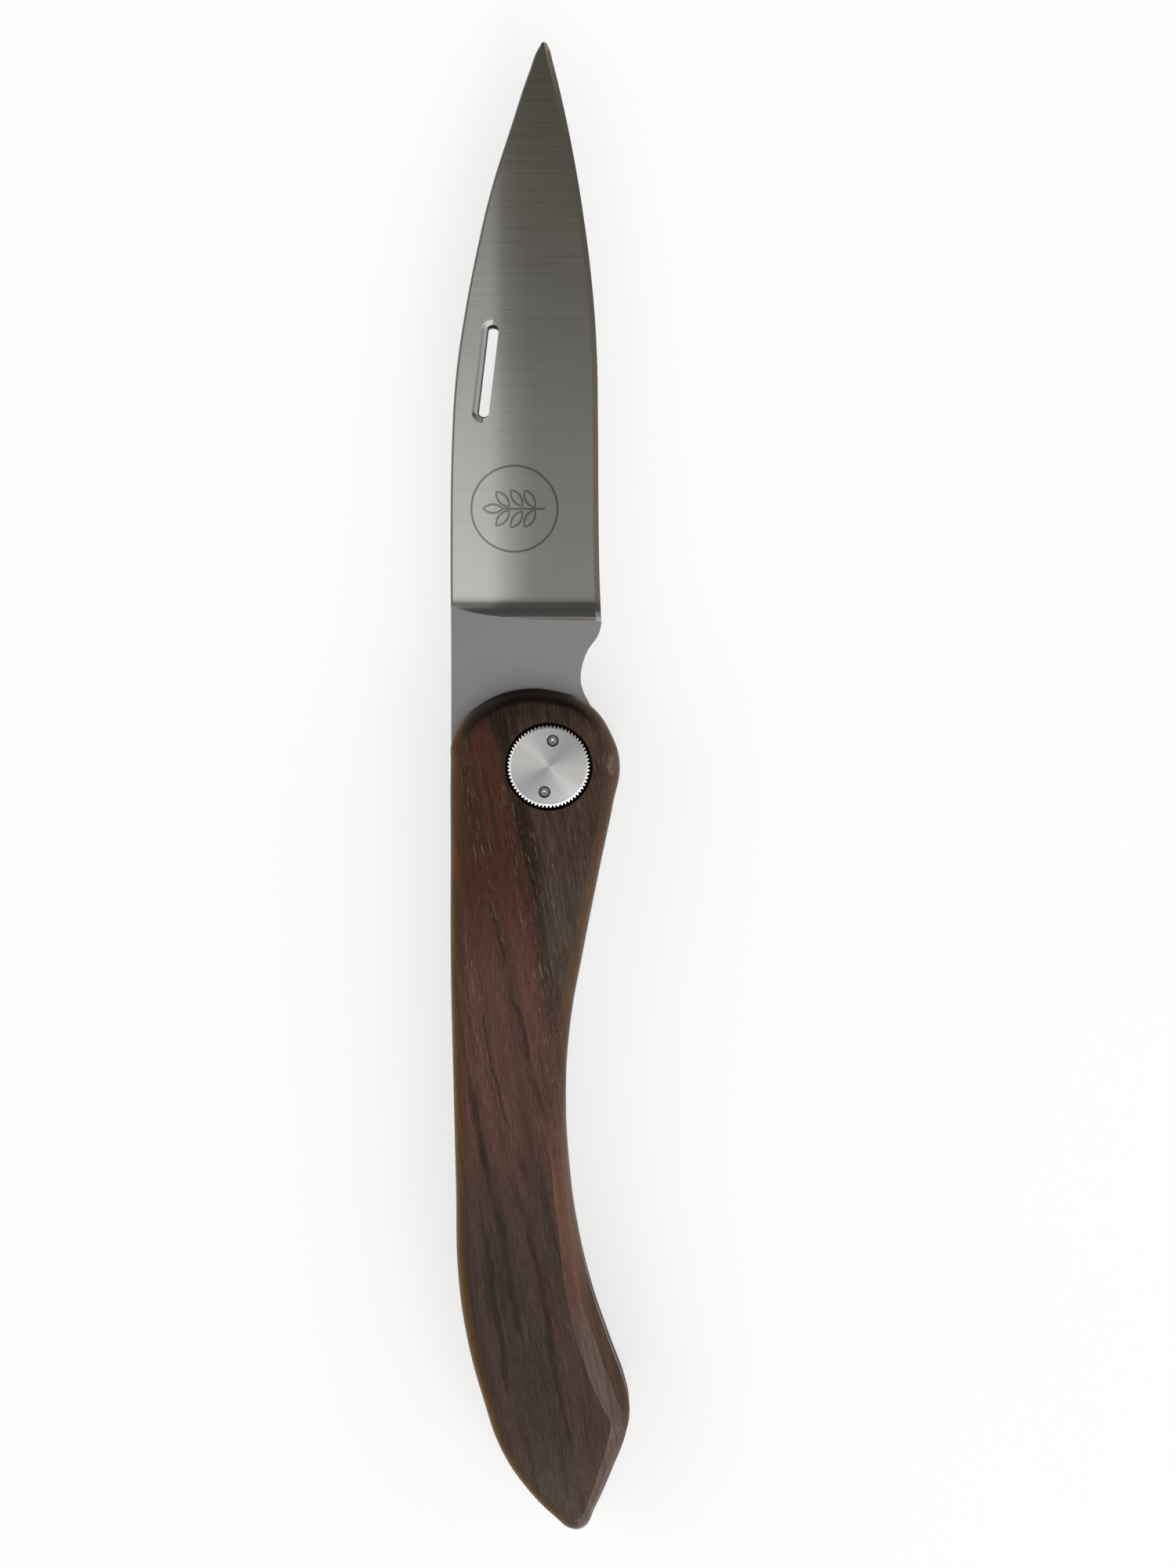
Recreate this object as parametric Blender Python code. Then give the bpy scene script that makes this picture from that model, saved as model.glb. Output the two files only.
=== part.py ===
"""A folding grafting knife: a spear-point blade that turns on a knurled pivot between two
wooden scales, and folds into a slot that is open along the handle's concave side.

The knife lies flat on its rear scale, opened out. Metres, +Z up. The origin is on the pivot's
axis at the rear face that the knife lies on, +Y points to the blade's tip and +X to its edge.
"""

import math
from itertools import pairwise

import bmesh
import bpy
from mathutils import Matrix, Vector
from mathutils.geometry import interpolate_bezier

MM = 0.001

# The stack of plates, from the rear face up.
SCALE_THICKNESS = 4.5 * MM
LINER_THICKNESS = 1.2 * MM
BLADE_THICKNESS = 2.8 * MM
WASHER_THICKNESS = 0.3 * MM
TOUCH = 0.02 * MM  # between pieces that bear on each other
SIDE_PLAY = WASHER_THICKNESS + 2 * TOUCH  # between a liner and the blade
WELL_WIDTH = BLADE_THICKNESS + 2 * SIDE_PLAY
LINER_OUT = WELL_WIDTH / 2 + LINER_THICKNESS  # from the middle plane to a liner's outer face
SCALE_IN = LINER_OUT + TOUCH
SCALE_OUT = SCALE_IN + SCALE_THICKNESS
MIDDLE = SCALE_OUT  # height of the blade's middle plane above the rear face

# The pivot.
AXLE_RADIUS = 3.0 * MM
THREAD_RADIUS = 2.2 * MM
RUNNING = 0.06 * MM  # radial clearance of every pin in its hole
CAP_RADIUS = 5.96 * MM
CAP_BORE_RADIUS = 6.14 * MM
CAP_PROUD = 0.45 * MM
CAP_CHAMFER = 0.3 * MM
KNURL_TEETH = 66
KNURL_DEPTH = 0.28 * MM
SPANNER_RADIUS = 0.78 * MM
SPANNER_DEPTH = 1.3 * MM
SPANNER_OFFSET = 3.7 * MM
SPANNER_ANGLE = math.radians(9.2)  # of the line through both holes, clockwise from +Y
WASHER_RADIUS = 5.8 * MM

# The blade. It is hollow ground on a wheel whose axis lies along the blade.
TANG_RADIUS = 9.8 * MM
SHOULDER_Y = -0.1 * MM
SPINE_X = -14.1 * MM
EDGE_X = 7.2 * MM
HALF_AT_SPINE = BLADE_THICKNESS / 2 - 0.04 * MM
HALF_AT_EDGE = 0.18 * MM
HALF_AT_APEX = 0.025 * MM
HOLLOW_POWER = 2  # a parabola, close to a wheel of 190 mm radius
PLUNGE_Y = 23.8 * MM
PLUNGE_RADIUS = 3.6 * MM
EDGE_BEVEL = 0.8 * MM
WINDOW_LOW = Vector((-9.5, 51.05, 0)) * MM
WINDOW_HIGH = Vector((-8.1, 62.9, 0)) * MM
WINDOW_RADIUS = 0.83 * MM
NICK_WIDTH = 1.15 * MM
NICK_DEPTH = 0.45 * MM

# Pins, rivets, screws and the detent.
STOP_RADIUS = 1.5 * MM
STOP_X = -11.6 * MM
STOP_AT = Vector((STOP_X, SHOULDER_Y - TOUCH - STOP_RADIUS, 0))
RIVET_RADIUS = 1.0 * MM
RIVET_HEAD_RADIUS = 1.6 * MM
RIVETS_AT = {
    "front": Vector((-10.6, -12.5, 0)) * MM,
    "middle": Vector((-10.2, -55.0, 0)) * MM,
    "rear": Vector((-4.6, -96.0, 0)) * MM,
}
SCREW_RADIUS = 0.9 * MM
SCREW_HEAD_RADIUS = 1.75 * MM
SCREW_HEAD_DEPTH = 0.85 * MM
SCREW_LENGTH = 4.2 * MM
SCREW_SOCKET_RADIUS = 0.75 * MM
SCREW_SOCKET_DEPTH = 0.5 * MM
SCREWS_AT = {
    "upper": Vector((-1.5, -33.0, 0)) * MM,
    "lower": Vector((0.6, -80.0, 0)) * MM,
}
BALL_RADIUS = 0.8 * MM
BALL_PROUD = 0.5 * MM  # of the liner's inner face
TRACK_RADIUS = 7.0 * MM  # from the pivot to the ball
TRACK_ANGLE = math.radians(-60)
TRACK_WIDTH = 1.2 * MM
TRACK_DEPTH = 0.25 * MM
PIT_RADIUS = 0.6 * MM
PIT_DEPTH = 0.3 * MM  # below the track
CLOSED_ANGLE = math.radians(179)

# The edge rounding of a scale, from its side to its flat face.
ROUNDING_DROP = 2.8 * MM
ROUNDING_RINGS = 5
OUTLINE_STEPS = 3

# The handle's outline in mm, from the spine side's upper end down, round the butt and back up
# over the front: outer x, y, then x, y where the flat face begins, then how far the rounded
# edge has turned into a flat chamfer, from 0 to 1.
HANDLE = [
    (-13.95, 3.4, -11.65, 2.2, 0),
    (-14.05, 0.5, -11.80, -0.4, 0),
    (-14.06, -12.0, -11.90, -12.0, 0),
    (-14.05, -28.0, -11.95, -28.0, 0),
    (-13.65, -46.0, -11.60, -46.0, 0),
    (-13.30, -60.0, -11.30, -59.9, 0),
    (-12.95, -73.0, -10.95, -72.7, 0),
    (-11.60, -82.2, -9.80, -81.6, 0),
    (-9.40, -90.4, -7.80, -89.5, 0),
    (-6.80, -97.7, -5.50, -96.5, 0),
    (-3.00, -103.4, -2.00, -101.9, 0),
    (1.05, -107.45, 1.70, -105.8, 0),
    (3.10, -109.0, 3.30, -107.1, 0.2),
    (4.90, -108.9, 4.15, -107.2, 0.4),
    (6.60, -106.0, 5.25, -105.5, 0.6),
    (9.10, -100.4, 7.25, -100.0, 0.7),
    (10.95, -95.6, 8.60, -95.2, 0.7),
    (11.55, -92.0, 8.75, -93.4, 0.7),
    (11.00, -88.9, 7.60, -91.2, 0.7),
    (8.80, -82.8, 4.70, -83.9, 0.7),
    (6.10, -74.9, 2.60, -75.8, 0.7),
    (4.10, -66.5, 1.45, -67.0, 0.6),
    (3.00, -58.8, 0.55, -59.0, 0.4),
    (2.40, -47.0, -0.10, -47.0, 0),
    (3.10, -36.5, 0.60, -36.7, 0),
    (4.90, -26.4, 2.45, -26.8, 0),
    (7.20, -14.9, 4.75, -15.4, 0),
    (9.20, -5.3, 6.80, -5.8, 0),
    (10.15, 0.3, 7.75, 0.1, 0),
    (9.05, 4.4, 7.00, 3.4, 0),
    (5.80, 8.85, 4.60, 6.8, 0),
    (1.00, 10.8, 0.80, 8.4, 0),
    (-4.50, 11.0, -4.20, 8.6, 0),
    (-9.30, 9.2, -8.20, 7.0, 0),
    (-12.65, 6.2, -10.90, 4.6, 0),
]

# The blade's outline in mm: the choil and heel, the cutting edge up to the tip, and the spine
# back down. The tang's disc closes it.
CHOIL = [(6.0, 8.7), (4.8, 11.2), (4.55, 12.8), (4.85, 14.9), (5.7, 17.0), (7.0, 18.85)]
CUTTING_EDGE = [
    (7.5, 20.5),
    (7.45, 22.4),
    (7.25, 28.0),
    (7.1, 40.0),
    (7.05, 50.0),
    (6.85, 60.5),
    (6.2, 69.5),
    (5.1, 78.5),
    (3.65, 87.5),
    (1.8, 96.5),
    (0.5, 101.8),
    (-0.1, 103.9),
]
TIP = [(-0.7, 104.6)]
SPINE = [
    (-1.4, 103.9),
    (-2.8, 100.5),
    (-5.6, 92.0),
    (-8.4, 83.0),
    (-10.5, 74.0),
    (-12.2, 65.0),
    (-13.45, 56.0),
    (-14.0, 46.5),
    (-14.2, 32.0),
    (-14.1, 16.0),
]

# The spacer's inner side in mm, which faces the folded blade, from the pivot to the butt. The
# blade's heel rests on the straight stretch, and the tip ends short of the last points.
SPACER_TOP_Y = -3.6
SPACER_CLEAR_RADIUS = 10.3
HEEL_REST_X = -7.24
SPACER_INSIDE = [
    (HEEL_REST_X, -9.0),
    (HEEL_REST_X, -22.2),
    (-7.35, -23.2),
    (-7.75, -24.8),
    (-7.6, -40.0),
    (-7.3, -56.0),
    (-6.6, -65.0),
    (-5.6, -74.0),
    (-4.1, -83.0),
    (-2.3, -92.0),
    (-0.2, -100.0),
    (0.6, -103.6),
    (2.0, -105.75),
    (4.4, -105.75),
]
SPACER_MOUTH = (6.3, -105.45)


def clear_scene():
    for obj in list(bpy.data.objects):
        bpy.data.objects.remove(obj, do_unlink=True)


def new_collection(name, hidden=False):
    collection = bpy.data.collections.new(name)
    bpy.context.scene.collection.children.link(collection)
    collection.hide_render = hidden
    return collection


def material(name, colour, roughness, metallic):
    made = bpy.data.materials.new(name)
    made.use_nodes = True
    shader = made.node_tree.nodes["Principled BSDF"]
    shader.inputs["Base Color"].default_value = (*colour, 1)
    shader.inputs["Roughness"].default_value = roughness
    shader.inputs["Metallic"].default_value = metallic
    return made


def sampled(knots, corners=(), steps=OUTLINE_STEPS):
    """Points in metres along the smooth closed curve through the knots, which are in mm.

    The curve has automatic handles, and straight ones at the knots listed as corners.
    """
    curve = bpy.data.curves.new("outline", "CURVE")
    spline = curve.splines.new("BEZIER")
    spline.bezier_points.add(len(knots) - 1)
    spline.use_cyclic_u = True
    for index, (point, knot) in enumerate(zip(spline.bezier_points, knots)):
        kind = "VECTOR" if index in corners else "AUTO"
        point.handle_left_type = point.handle_right_type = kind
        point.co = (knot[0] * MM, knot[1] * MM, 0)
    holder = bpy.data.objects.new("outline", curve)
    CUTTERS.objects.link(holder)
    bpy.context.view_layer.update()
    ends = list(spline.bezier_points)
    points = []
    for a, b in pairwise([*ends, ends[0]]):
        points += interpolate_bezier(
            a.co, a.handle_right, b.handle_left, b.co, steps + 1
        )[:-1]
    bpy.data.objects.remove(holder)
    return [Vector((p.x, p.y, 0)) for p in points]


def add_object(name, mesh, height=0.0, collection=None):
    obj = bpy.data.objects.new(name, mesh)
    obj.location.z = height
    (collection or CUTTERS).objects.link(obj)
    if collection is None:
        obj.hide_render = True
        obj.display_type = "WIRE"
    return obj


def mesh_from(bm, name):
    bmesh.ops.recalc_face_normals(bm, faces=bm.faces)
    mesh = bpy.data.meshes.new(name)
    bm.to_mesh(mesh)
    bm.free()
    return mesh


def plate(name, points, low, high):
    """A flat mesh with this outline, made from a filled 2D curve."""
    curve = bpy.data.curves.new(name, "CURVE")
    curve.dimensions = "2D"
    curve.fill_mode = "BOTH"
    curve.extrude = (high - low) / 2
    spline = curve.splines.new("POLY")
    spline.points.add(len(points) - 1)
    spline.use_cyclic_u = True
    for point, place in zip(spline.points, points):
        point.co = (place.x, place.y, 0, 1)
    holder = bpy.data.objects.new(name, curve)
    CUTTERS.objects.link(holder)
    bpy.context.view_layer.update()
    graph = bpy.context.evaluated_depsgraph_get()
    mesh = bpy.data.meshes.new_from_object(holder.evaluated_get(graph))
    bpy.data.objects.remove(holder)
    bm = bmesh.new()
    bm.from_mesh(mesh)
    bmesh.ops.remove_doubles(bm, verts=bm.verts, dist=1e-7)
    bmesh.ops.translate(bm, verts=bm.verts, vec=(0, 0, (low + high) / 2))
    return mesh_from(bm, name)


def turned(name, profile, at=Vector((0, 0, 0)), segments=24):
    """A turned solid about Z from (radius, height) pairs that run up its outer side."""
    bm = bmesh.new()
    rings = []
    for radius, height in profile:
        if radius == 0:
            rings.append([bm.verts.new(at + Vector((0, 0, height)))])
            continue
        turns = (2 * math.pi * k / segments for k in range(segments))
        rings.append(
            [
                bm.verts.new(
                    at + Vector((radius * math.cos(a), radius * math.sin(a), height))
                )
                for a in turns
            ]
        )
    for low, high in pairwise(rings):
        for k in range(segments):
            corners = [
                low[k % len(low)],
                low[(k + 1) % len(low)],
                high[(k + 1) % len(high)],
                high[k % len(high)],
            ]
            bm.faces.new(list(dict.fromkeys(corners)))
    for ring in (rings[0], rings[-1]):
        if len(ring) > 1:
            bm.faces.new(ring)
    return mesh_from(bm, name)


def rod(name, radius, low, high, at=Vector((0, 0, 0)), segments=24):
    return turned(name, [(radius, low), (radius, high)], at, segments)


def ring(name, inner, outer, low, high, segments=36):
    """A flat ring: a rod whose middle is cut out."""
    mesh = rod(name, outer, low, high, segments=segments)
    return cut_mesh(mesh, [rod("hole", inner, low - MM, high + MM, segments=segments)])


def cut_mesh(mesh, cutters, operation="DIFFERENCE"):
    """The mesh with every cutter mesh taken away, by the EXACT Boolean."""
    body = add_object(mesh.name, mesh)
    for cutter in cutters:
        helper = add_object("cutter", cutter)
        modifier = body.modifiers.new("cut", "BOOLEAN")
        modifier.operation = operation
        modifier.object = helper
    bpy.context.view_layer.update()
    graph = bpy.context.evaluated_depsgraph_get()
    result = bpy.data.meshes.new_from_object(body.evaluated_get(graph))
    for modifier in list(body.modifiers):
        bpy.data.objects.remove(modifier.object)
    bpy.data.objects.remove(body)
    result.name = mesh.name
    return result


def node(name, mesh, finish, height=MIDDLE, smooth_angle=30):
    """A finished piece. Its origin is on the pivot's axis, at this height."""
    obj = add_object(name, mesh, height, KNIFE)
    mesh.materials.clear()
    mesh.materials.append(finish)
    mesh.shade_smooth()
    mesh.set_sharp_from_angle(angle=math.radians(smooth_angle))
    return obj


# --- the handle ---------------------------------------------------------------------------


def flipped(mesh):
    """A copy mirrored through the middle plane."""
    bm = bmesh.new()
    bm.from_mesh(mesh)
    bmesh.ops.scale(bm, verts=bm.verts, vec=(1, 1, -1))
    return mesh_from(bm, mesh.name)


def scale_blank(name):
    """A front scale without holes: a loft from the outline to the flat face's own outline."""
    outer = sampled([knot[:2] for knot in HANDLE])
    inner = sampled([knot[2:4] for knot in HANDLE])
    flats = []
    for here, following in pairwise([*HANDLE, HANDLE[0]]):
        step = (following[4] - here[4]) / OUTLINE_STEPS
        flats += [here[4] + step * k for k in range(OUTLINE_STEPS)]
    bm = bmesh.new()
    rings = [[bm.verts.new((p.x, p.y, SCALE_IN)) for p in outer]]
    for level in range(ROUNDING_RINGS + 1):
        share = level / ROUNDING_RINGS
        turn = share * math.pi / 2
        ring_points = []
        for a, b, flat in zip(outer, inner, flats):
            across = (1 - flat) * (1 - math.cos(turn)) + flat * share
            up = (1 - flat) * math.sin(turn) + flat * share
            place = a.lerp(b, across)
            place.z = SCALE_OUT - ROUNDING_DROP * (1 - up)
            ring_points.append(bm.verts.new(place))
        rings.append(ring_points)
    count = len(outer)
    for low, high in pairwise(rings):
        for k in range(count):
            n = (k + 1) % count
            bm.faces.new((low[k], low[n], high[n], high[k]))
    bm.faces.new(rings[0])
    bm.faces.new(rings[-1])
    return mesh_from(bm, name)


def rivet_profile(clearance=0.0):
    """A flush rivet, or with clearance the hole that it sits in."""
    reach = LINER_OUT - TOUCH + (TOUCH + 0.01 * MM if clearance else 0)
    shank, head = RIVET_RADIUS + clearance, RIVET_HEAD_RADIUS + clearance
    slope = head - shank
    return [
        (head, -reach),
        (shank, -reach + slope),
        (shank, reach - slope),
        (head, reach),
    ]


def screw_profile(clearance=0.0):
    """A countersunk screw whose head is flush inside the front liner, or its hole."""
    start = WELL_WIDTH / 2 + (-0.01 * MM if clearance else TOUCH)
    head, shank = SCREW_HEAD_RADIUS + clearance, SCREW_RADIUS + clearance
    tip = WELL_WIDTH / 2 + SCREW_LENGTH + clearance
    return [
        (head, start),
        (shank, start + SCREW_HEAD_DEPTH),
        (shank, tip - shank * 0.6),
        (0.2 * MM, tip),
    ]


def screw_holes():
    return [turned("screw_hole", screw_profile(RUNNING), at) for at in SCREWS_AT.values()]


def make_scales():
    bore = rod("cap_bore", CAP_BORE_RADIUS, 0, 20 * MM, segments=48)
    front = cut_mesh(scale_blank("front_scale"), [bore, *screw_holes()])
    rear = flipped(front)
    node("front_scale", front, WOOD)
    node("rear_scale", rear, WOOD)


def make_liners():
    outline = sampled([knot[:2] for knot in HANDLE])
    inside = WELL_WIDTH / 2
    holes = [
        rod("axle_hole", AXLE_RADIUS + RUNNING, 0, 20 * MM, segments=36),
        rod("stop_hole", STOP_RADIUS + RUNNING, 0, 20 * MM, STOP_AT),
        *(turned("rivet_hole", rivet_profile(RUNNING), at) for at in RIVETS_AT.values()),
        *screw_holes(),
    ]
    both = cut_mesh(plate("front_liner", outline, inside, LINER_OUT), holes)
    node("rear_liner", flipped(both), STEEL)
    seat = rod("ball_seat", BALL_RADIUS + RUNNING, 0, 20 * MM, on_track(0))
    node("front_liner", cut_mesh(both, [seat]), STEEL)


def spacer_outline():
    """Down the handle's spine side, round the butt, and back up beside the folded blade."""
    handle = sampled([knot[:2] for knot in HANDLE])
    tip = min(range(len(handle)), key=lambda k: handle[k].y)
    down = [p for p in handle[: tip + 1] if p.y < SPACER_TOP_Y * MM]
    up = [p for p in handle[tip + 1 :] if p.y < SPACER_MOUTH[1] * MM]
    first = Vector((handle[0].x, SPACER_TOP_Y * MM, 0))
    inside = smooth_line([*reversed(SPACER_INSIDE)])
    near, far = (
        math.acos(HEEL_REST_X / SPACER_CLEAR_RADIUS),
        math.pi - math.asin(-SPACER_TOP_Y / SPACER_CLEAR_RADIUS),
    )
    arc_steps = 5
    arc = [
        SPACER_CLEAR_RADIUS
        * MM
        * Vector(
            (
                math.cos(near + (far - near) * k / arc_steps),
                -math.sin(near + (far - near) * k / arc_steps),
                0,
            )
        )
        for k in range(arc_steps + 1)
    ]
    return [first, *down, *up, Vector((*SPACER_MOUTH, 0)) * MM, *inside, *arc]


def smooth_line(knots):
    """Points in metres along the smooth open curve through the knots, which are in mm."""
    closed = sampled(knots, corners=(0, len(knots) - 1), steps=2)
    return closed[: 2 * (len(knots) - 1) + 1]


def make_spacer():
    half = WELL_WIDTH / 2 - TOUCH
    blank = plate("back_spacer", spacer_outline(), -half, half)
    holes = [
        rod("rivet_hole", RIVET_RADIUS + RUNNING, -9 * MM, 9 * MM, at)
        for at in RIVETS_AT.values()
    ]
    node("back_spacer", cut_mesh(blank, holes), STEEL)


# --- the pivot ----------------------------------------------------------------------------


def knurled_disc(name, low, high):
    """A disc with a fine straight knurl, chamfered at its upper rim."""
    count = 2 * KNURL_TEETH
    bm = bmesh.new()
    rings = []
    for height, inset in ((low, 0), (high - CAP_CHAMFER, 0), (high, CAP_CHAMFER)):
        level = []
        for k in range(count):
            radius = CAP_RADIUS - inset - KNURL_DEPTH * (k % 2) * (inset == 0)
            angle = 2 * math.pi * k / count
            level.append(
                bm.verts.new((radius * math.cos(angle), radius * math.sin(angle), height))
            )
        rings.append(level)
    for below, above in pairwise(rings):
        for k in range(count):
            n = (k + 1) % count
            bm.faces.new((below[k], below[n], above[n], above[k]))
    bm.faces.new(rings[0])
    bm.faces.new(rings[-1])
    return mesh_from(bm, name)


def cap(name, high):
    """A pivot cap that bears on a liner: threaded from below, with two spanner holes above."""
    low = SCALE_IN
    thread_top = high - 2.0 * MM
    cuts = [rod("thread", THREAD_RADIUS + RUNNING, 0, thread_top, segments=24)]
    for side in (1, -1):
        at = side * SPANNER_OFFSET * Vector((math.sin(SPANNER_ANGLE), math.cos(SPANNER_ANGLE), 0))
        floor = high - SPANNER_DEPTH
        cone = SPANNER_RADIUS * 0.6
        profile = [(0, floor - cone), (SPANNER_RADIUS, floor), (SPANNER_RADIUS, high + MM)]
        cuts.append(turned("spanner_hole", profile, at, segments=16))
    return cut_mesh(knurled_disc(name, low, high), cuts)


def make_pivot():
    node("pivot_nut", cap("pivot_nut", SCALE_OUT + CAP_PROUD), BRIGHT_STEEL)
    node("pivot_head", flipped(cap("pivot_head", SCALE_OUT)), BRIGHT_STEEL)
    shoulder = LINER_OUT - TOUCH
    end = SCALE_OUT - 2.3 * MM
    profile = [
        (THREAD_RADIUS, -end),
        (THREAD_RADIUS, -shoulder),
        (AXLE_RADIUS, -shoulder),
        (AXLE_RADIUS, shoulder),
        (THREAD_RADIUS, shoulder),
        (THREAD_RADIUS, end),
    ]
    node("pivot_axle", turned("pivot_axle", profile, segments=36), STEEL)
    low = BLADE_THICKNESS / 2 + TOUCH
    hole = AXLE_RADIUS + RUNNING
    washer = ring("front_washer", hole, WASHER_RADIUS, low, low + WASHER_THICKNESS)
    node("rear_washer", flipped(washer), BRONZE)
    node("front_washer", washer, BRONZE)


def on_track(turn):
    """The point of the tang's track that meets the ball when the blade is this far closed."""
    angle = TRACK_ANGLE + turn
    return TRACK_RADIUS * Vector((math.cos(angle), math.sin(angle), 0))


def make_detent():
    """A hard ball pressed into the front liner, which clicks into the tang's track."""
    bm = bmesh.new()
    bmesh.ops.create_uvsphere(bm, u_segments=16, v_segments=10, radius=BALL_RADIUS)
    centre = on_track(0) + Vector((0, 0, WELL_WIDTH / 2 - BALL_PROUD + BALL_RADIUS))
    bmesh.ops.translate(bm, verts=bm.verts, vec=centre)
    node("detent_ball", mesh_from(bm, "detent_ball"), BRIGHT_STEEL)


# --- pins, rivets and screws --------------------------------------------------------------


def make_fasteners():
    reach = LINER_OUT - TOUCH
    edge = 0.15 * MM
    profile = [
        (STOP_RADIUS - edge, -reach),
        (STOP_RADIUS, -reach + edge),
        (STOP_RADIUS, reach - edge),
        (STOP_RADIUS - edge, reach),
    ]
    node("stop_pin", turned("stop_pin", profile, STOP_AT), BRIGHT_STEEL)
    for place, at in RIVETS_AT.items():
        name = f"spacer_rivet_{place}"
        node(name, turned(name, rivet_profile(), at), STEEL)
    for place, at in SCREWS_AT.items():
        name = f"front_scale_screw_{place}"
        floor = WELL_WIDTH / 2 + TOUCH + SCREW_SOCKET_DEPTH
        socket = rod("socket", SCREW_SOCKET_RADIUS, 0, floor, at, segments=6)
        screw = cut_mesh(turned(name, screw_profile(), at), [socket])
        node(f"rear_scale_screw_{place}", flipped(screw), STEEL)
        node(name, screw, STEEL)


# --- the blade ----------------------------------------------------------------------------


def blade_outline():
    """The outline's points, and those of its cutting edge from the heel to the tip."""
    turn = [180 + math.degrees(math.asin(-SHOULDER_Y / TANG_RADIUS)), *range(205, 405, 25), 409]
    radius = TANG_RADIUS / MM
    disc = [(radius * math.cos(math.radians(a)), radius * math.sin(math.radians(a))) for a in turn]
    back = (SPINE[-1][0], SHOULDER_Y / MM)
    knots = [back, *disc, *CHOIL, *CUTTING_EDGE, *TIP, *SPINE]
    points = sampled(knots, corners=(0, 1))
    start = OUTLINE_STEPS * (1 + len(disc) + len(CHOIL))
    end = start + OUTLINE_STEPS * len(CUTTING_EDGE)
    return points, points[start : end + 1]


def ground_half(x, y):
    """Half the blade's thickness where the grinding wheel has passed, in metres."""
    share = max(0.0, (EDGE_X - x) / (EDGE_X - SPINE_X))
    half = HALF_AT_EDGE + (HALF_AT_SPINE - HALF_AT_EDGE) * share**HOLLOW_POWER
    run_out = min(max(PLUNGE_Y - y, 0.0), PLUNGE_RADIUS)
    return half + PLUNGE_RADIUS - math.sqrt(PLUNGE_RADIUS**2 - run_out**2)


def grinding_cutter(edge):
    """What the wheel takes off the front face: a grid on the ground surface, drawn upwards."""
    columns = 10
    past_edge = 0.4 * MM
    rows = [PLUNGE_Y - PLUNGE_RADIUS * math.sin(k * math.pi / 16) for k in range(8, 0, -1)]
    rows = [*rows, PLUNGE_Y, *(p.y for p in edge if p.y > PLUNGE_Y + MM)]
    rows.append(rows[-1] + 2 * MM)
    bm = bmesh.new()
    grid = []
    for y in rows:
        at_edge = edge_x(edge, y)
        ends = SPINE_X - 2 * MM, at_edge - EDGE_BEVEL
        line = [ends[0] + (ends[1] - ends[0]) * k / columns for k in range(columns + 1)]
        row = [bm.verts.new((x, y, ground_half(x, y))) for x in line]
        inner = ground_half(line[-1], y)
        lift = ground_half(at_edge, y) - ground_half(at_edge, PLUNGE_Y)
        slope = (inner - HALF_AT_APEX - lift) / EDGE_BEVEL
        outer = inner - slope * (EDGE_BEVEL + past_edge)
        row.append(bm.verts.new((at_edge + past_edge, y, outer)))
        grid.append(row)
    for low, high in pairwise(grid):
        for k in range(len(low) - 1):
            bm.faces.new((low[k], low[k + 1], high[k + 1], high[k]))
    made = bmesh.ops.extrude_face_region(bm, geom=bm.faces[:])["geom"]
    for vert in (v for v in made if isinstance(v, bmesh.types.BMVert)):
        vert.co.z = BLADE_THICKNESS
    return mesh_from(bm, "grind")


def edge_x(edge, y):
    """The cutting edge's X at this height, from its sampled points."""
    if y <= edge[0].y:
        return edge[0].x
    for a, b in pairwise(edge):
        if a.y <= y <= b.y:
            return a.x + (b.x - a.x) * (y - a.y) / (b.y - a.y)
    return edge[-1].x


def stadium(width_left, width_right):
    """A slot's outline about the window's middle line, as wide as this on its two sides."""
    along = (WINDOW_HIGH - WINDOW_LOW).normalized()
    across = Vector((along.y, -along.x, 0))
    arc_steps = 12
    points = []
    for end, start in ((WINDOW_HIGH, 0), (WINDOW_LOW, math.pi)):
        for k in range(arc_steps + 1):
            turn = start + math.pi * k / arc_steps
            side = math.cos(turn)
            width = width_right if side > 0 else width_left
            reach = max(width_left, WINDOW_RADIUS)
            points.append(end + across * (side * width) + along * (math.sin(turn) * reach))
    return points


def nail_nick():
    """A sloped recess beside the window, on the spine's side, that a nail can catch."""
    width = WINDOW_RADIUS + NICK_WIDTH
    mesh = plate("nick", stadium(width, 0.2 * MM), 0, 4 * MM)
    along = (WINDOW_HIGH - WINDOW_LOW).normalized()
    across = Vector((along.y, -along.x, 0))
    for vert in mesh.vertices:
        side = (vert.co - WINDOW_LOW).dot(across)
        surface = ground_half(vert.co.x, vert.co.y)
        vert.co.z += surface - NICK_DEPTH * (side + width) / NICK_WIDTH
    return mesh


def make_blade():
    points, edge = blade_outline()
    half = BLADE_THICKNESS / 2
    grind = grinding_cutter(edge)
    face = half - TRACK_DEPTH
    track_half = TRACK_WIDTH / 2
    pit = [(0, face - PIT_DEPTH), (PIT_RADIUS, face + 0.01 * MM), (PIT_RADIUS, 9 * MM)]
    cuts = [
        grind,
        flipped(grind),
        rod("axle_hole", AXLE_RADIUS + RUNNING, -9 * MM, 9 * MM, segments=36),
        ring("track", TRACK_RADIUS - track_half, TRACK_RADIUS + track_half, face, 9 * MM, 40),
        turned("open_pit", pit, on_track(0), segments=16),
        turned("closed_pit", pit, on_track(CLOSED_ANGLE), segments=16),
        plate("window", stadium(WINDOW_RADIUS, WINDOW_RADIUS), -9 * MM, 9 * MM),
        nail_nick(),
    ]
    node("blade", cut_mesh(plate("blade", points, -half, half), cuts), BLADE_STEEL, smooth_angle=8)


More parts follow.
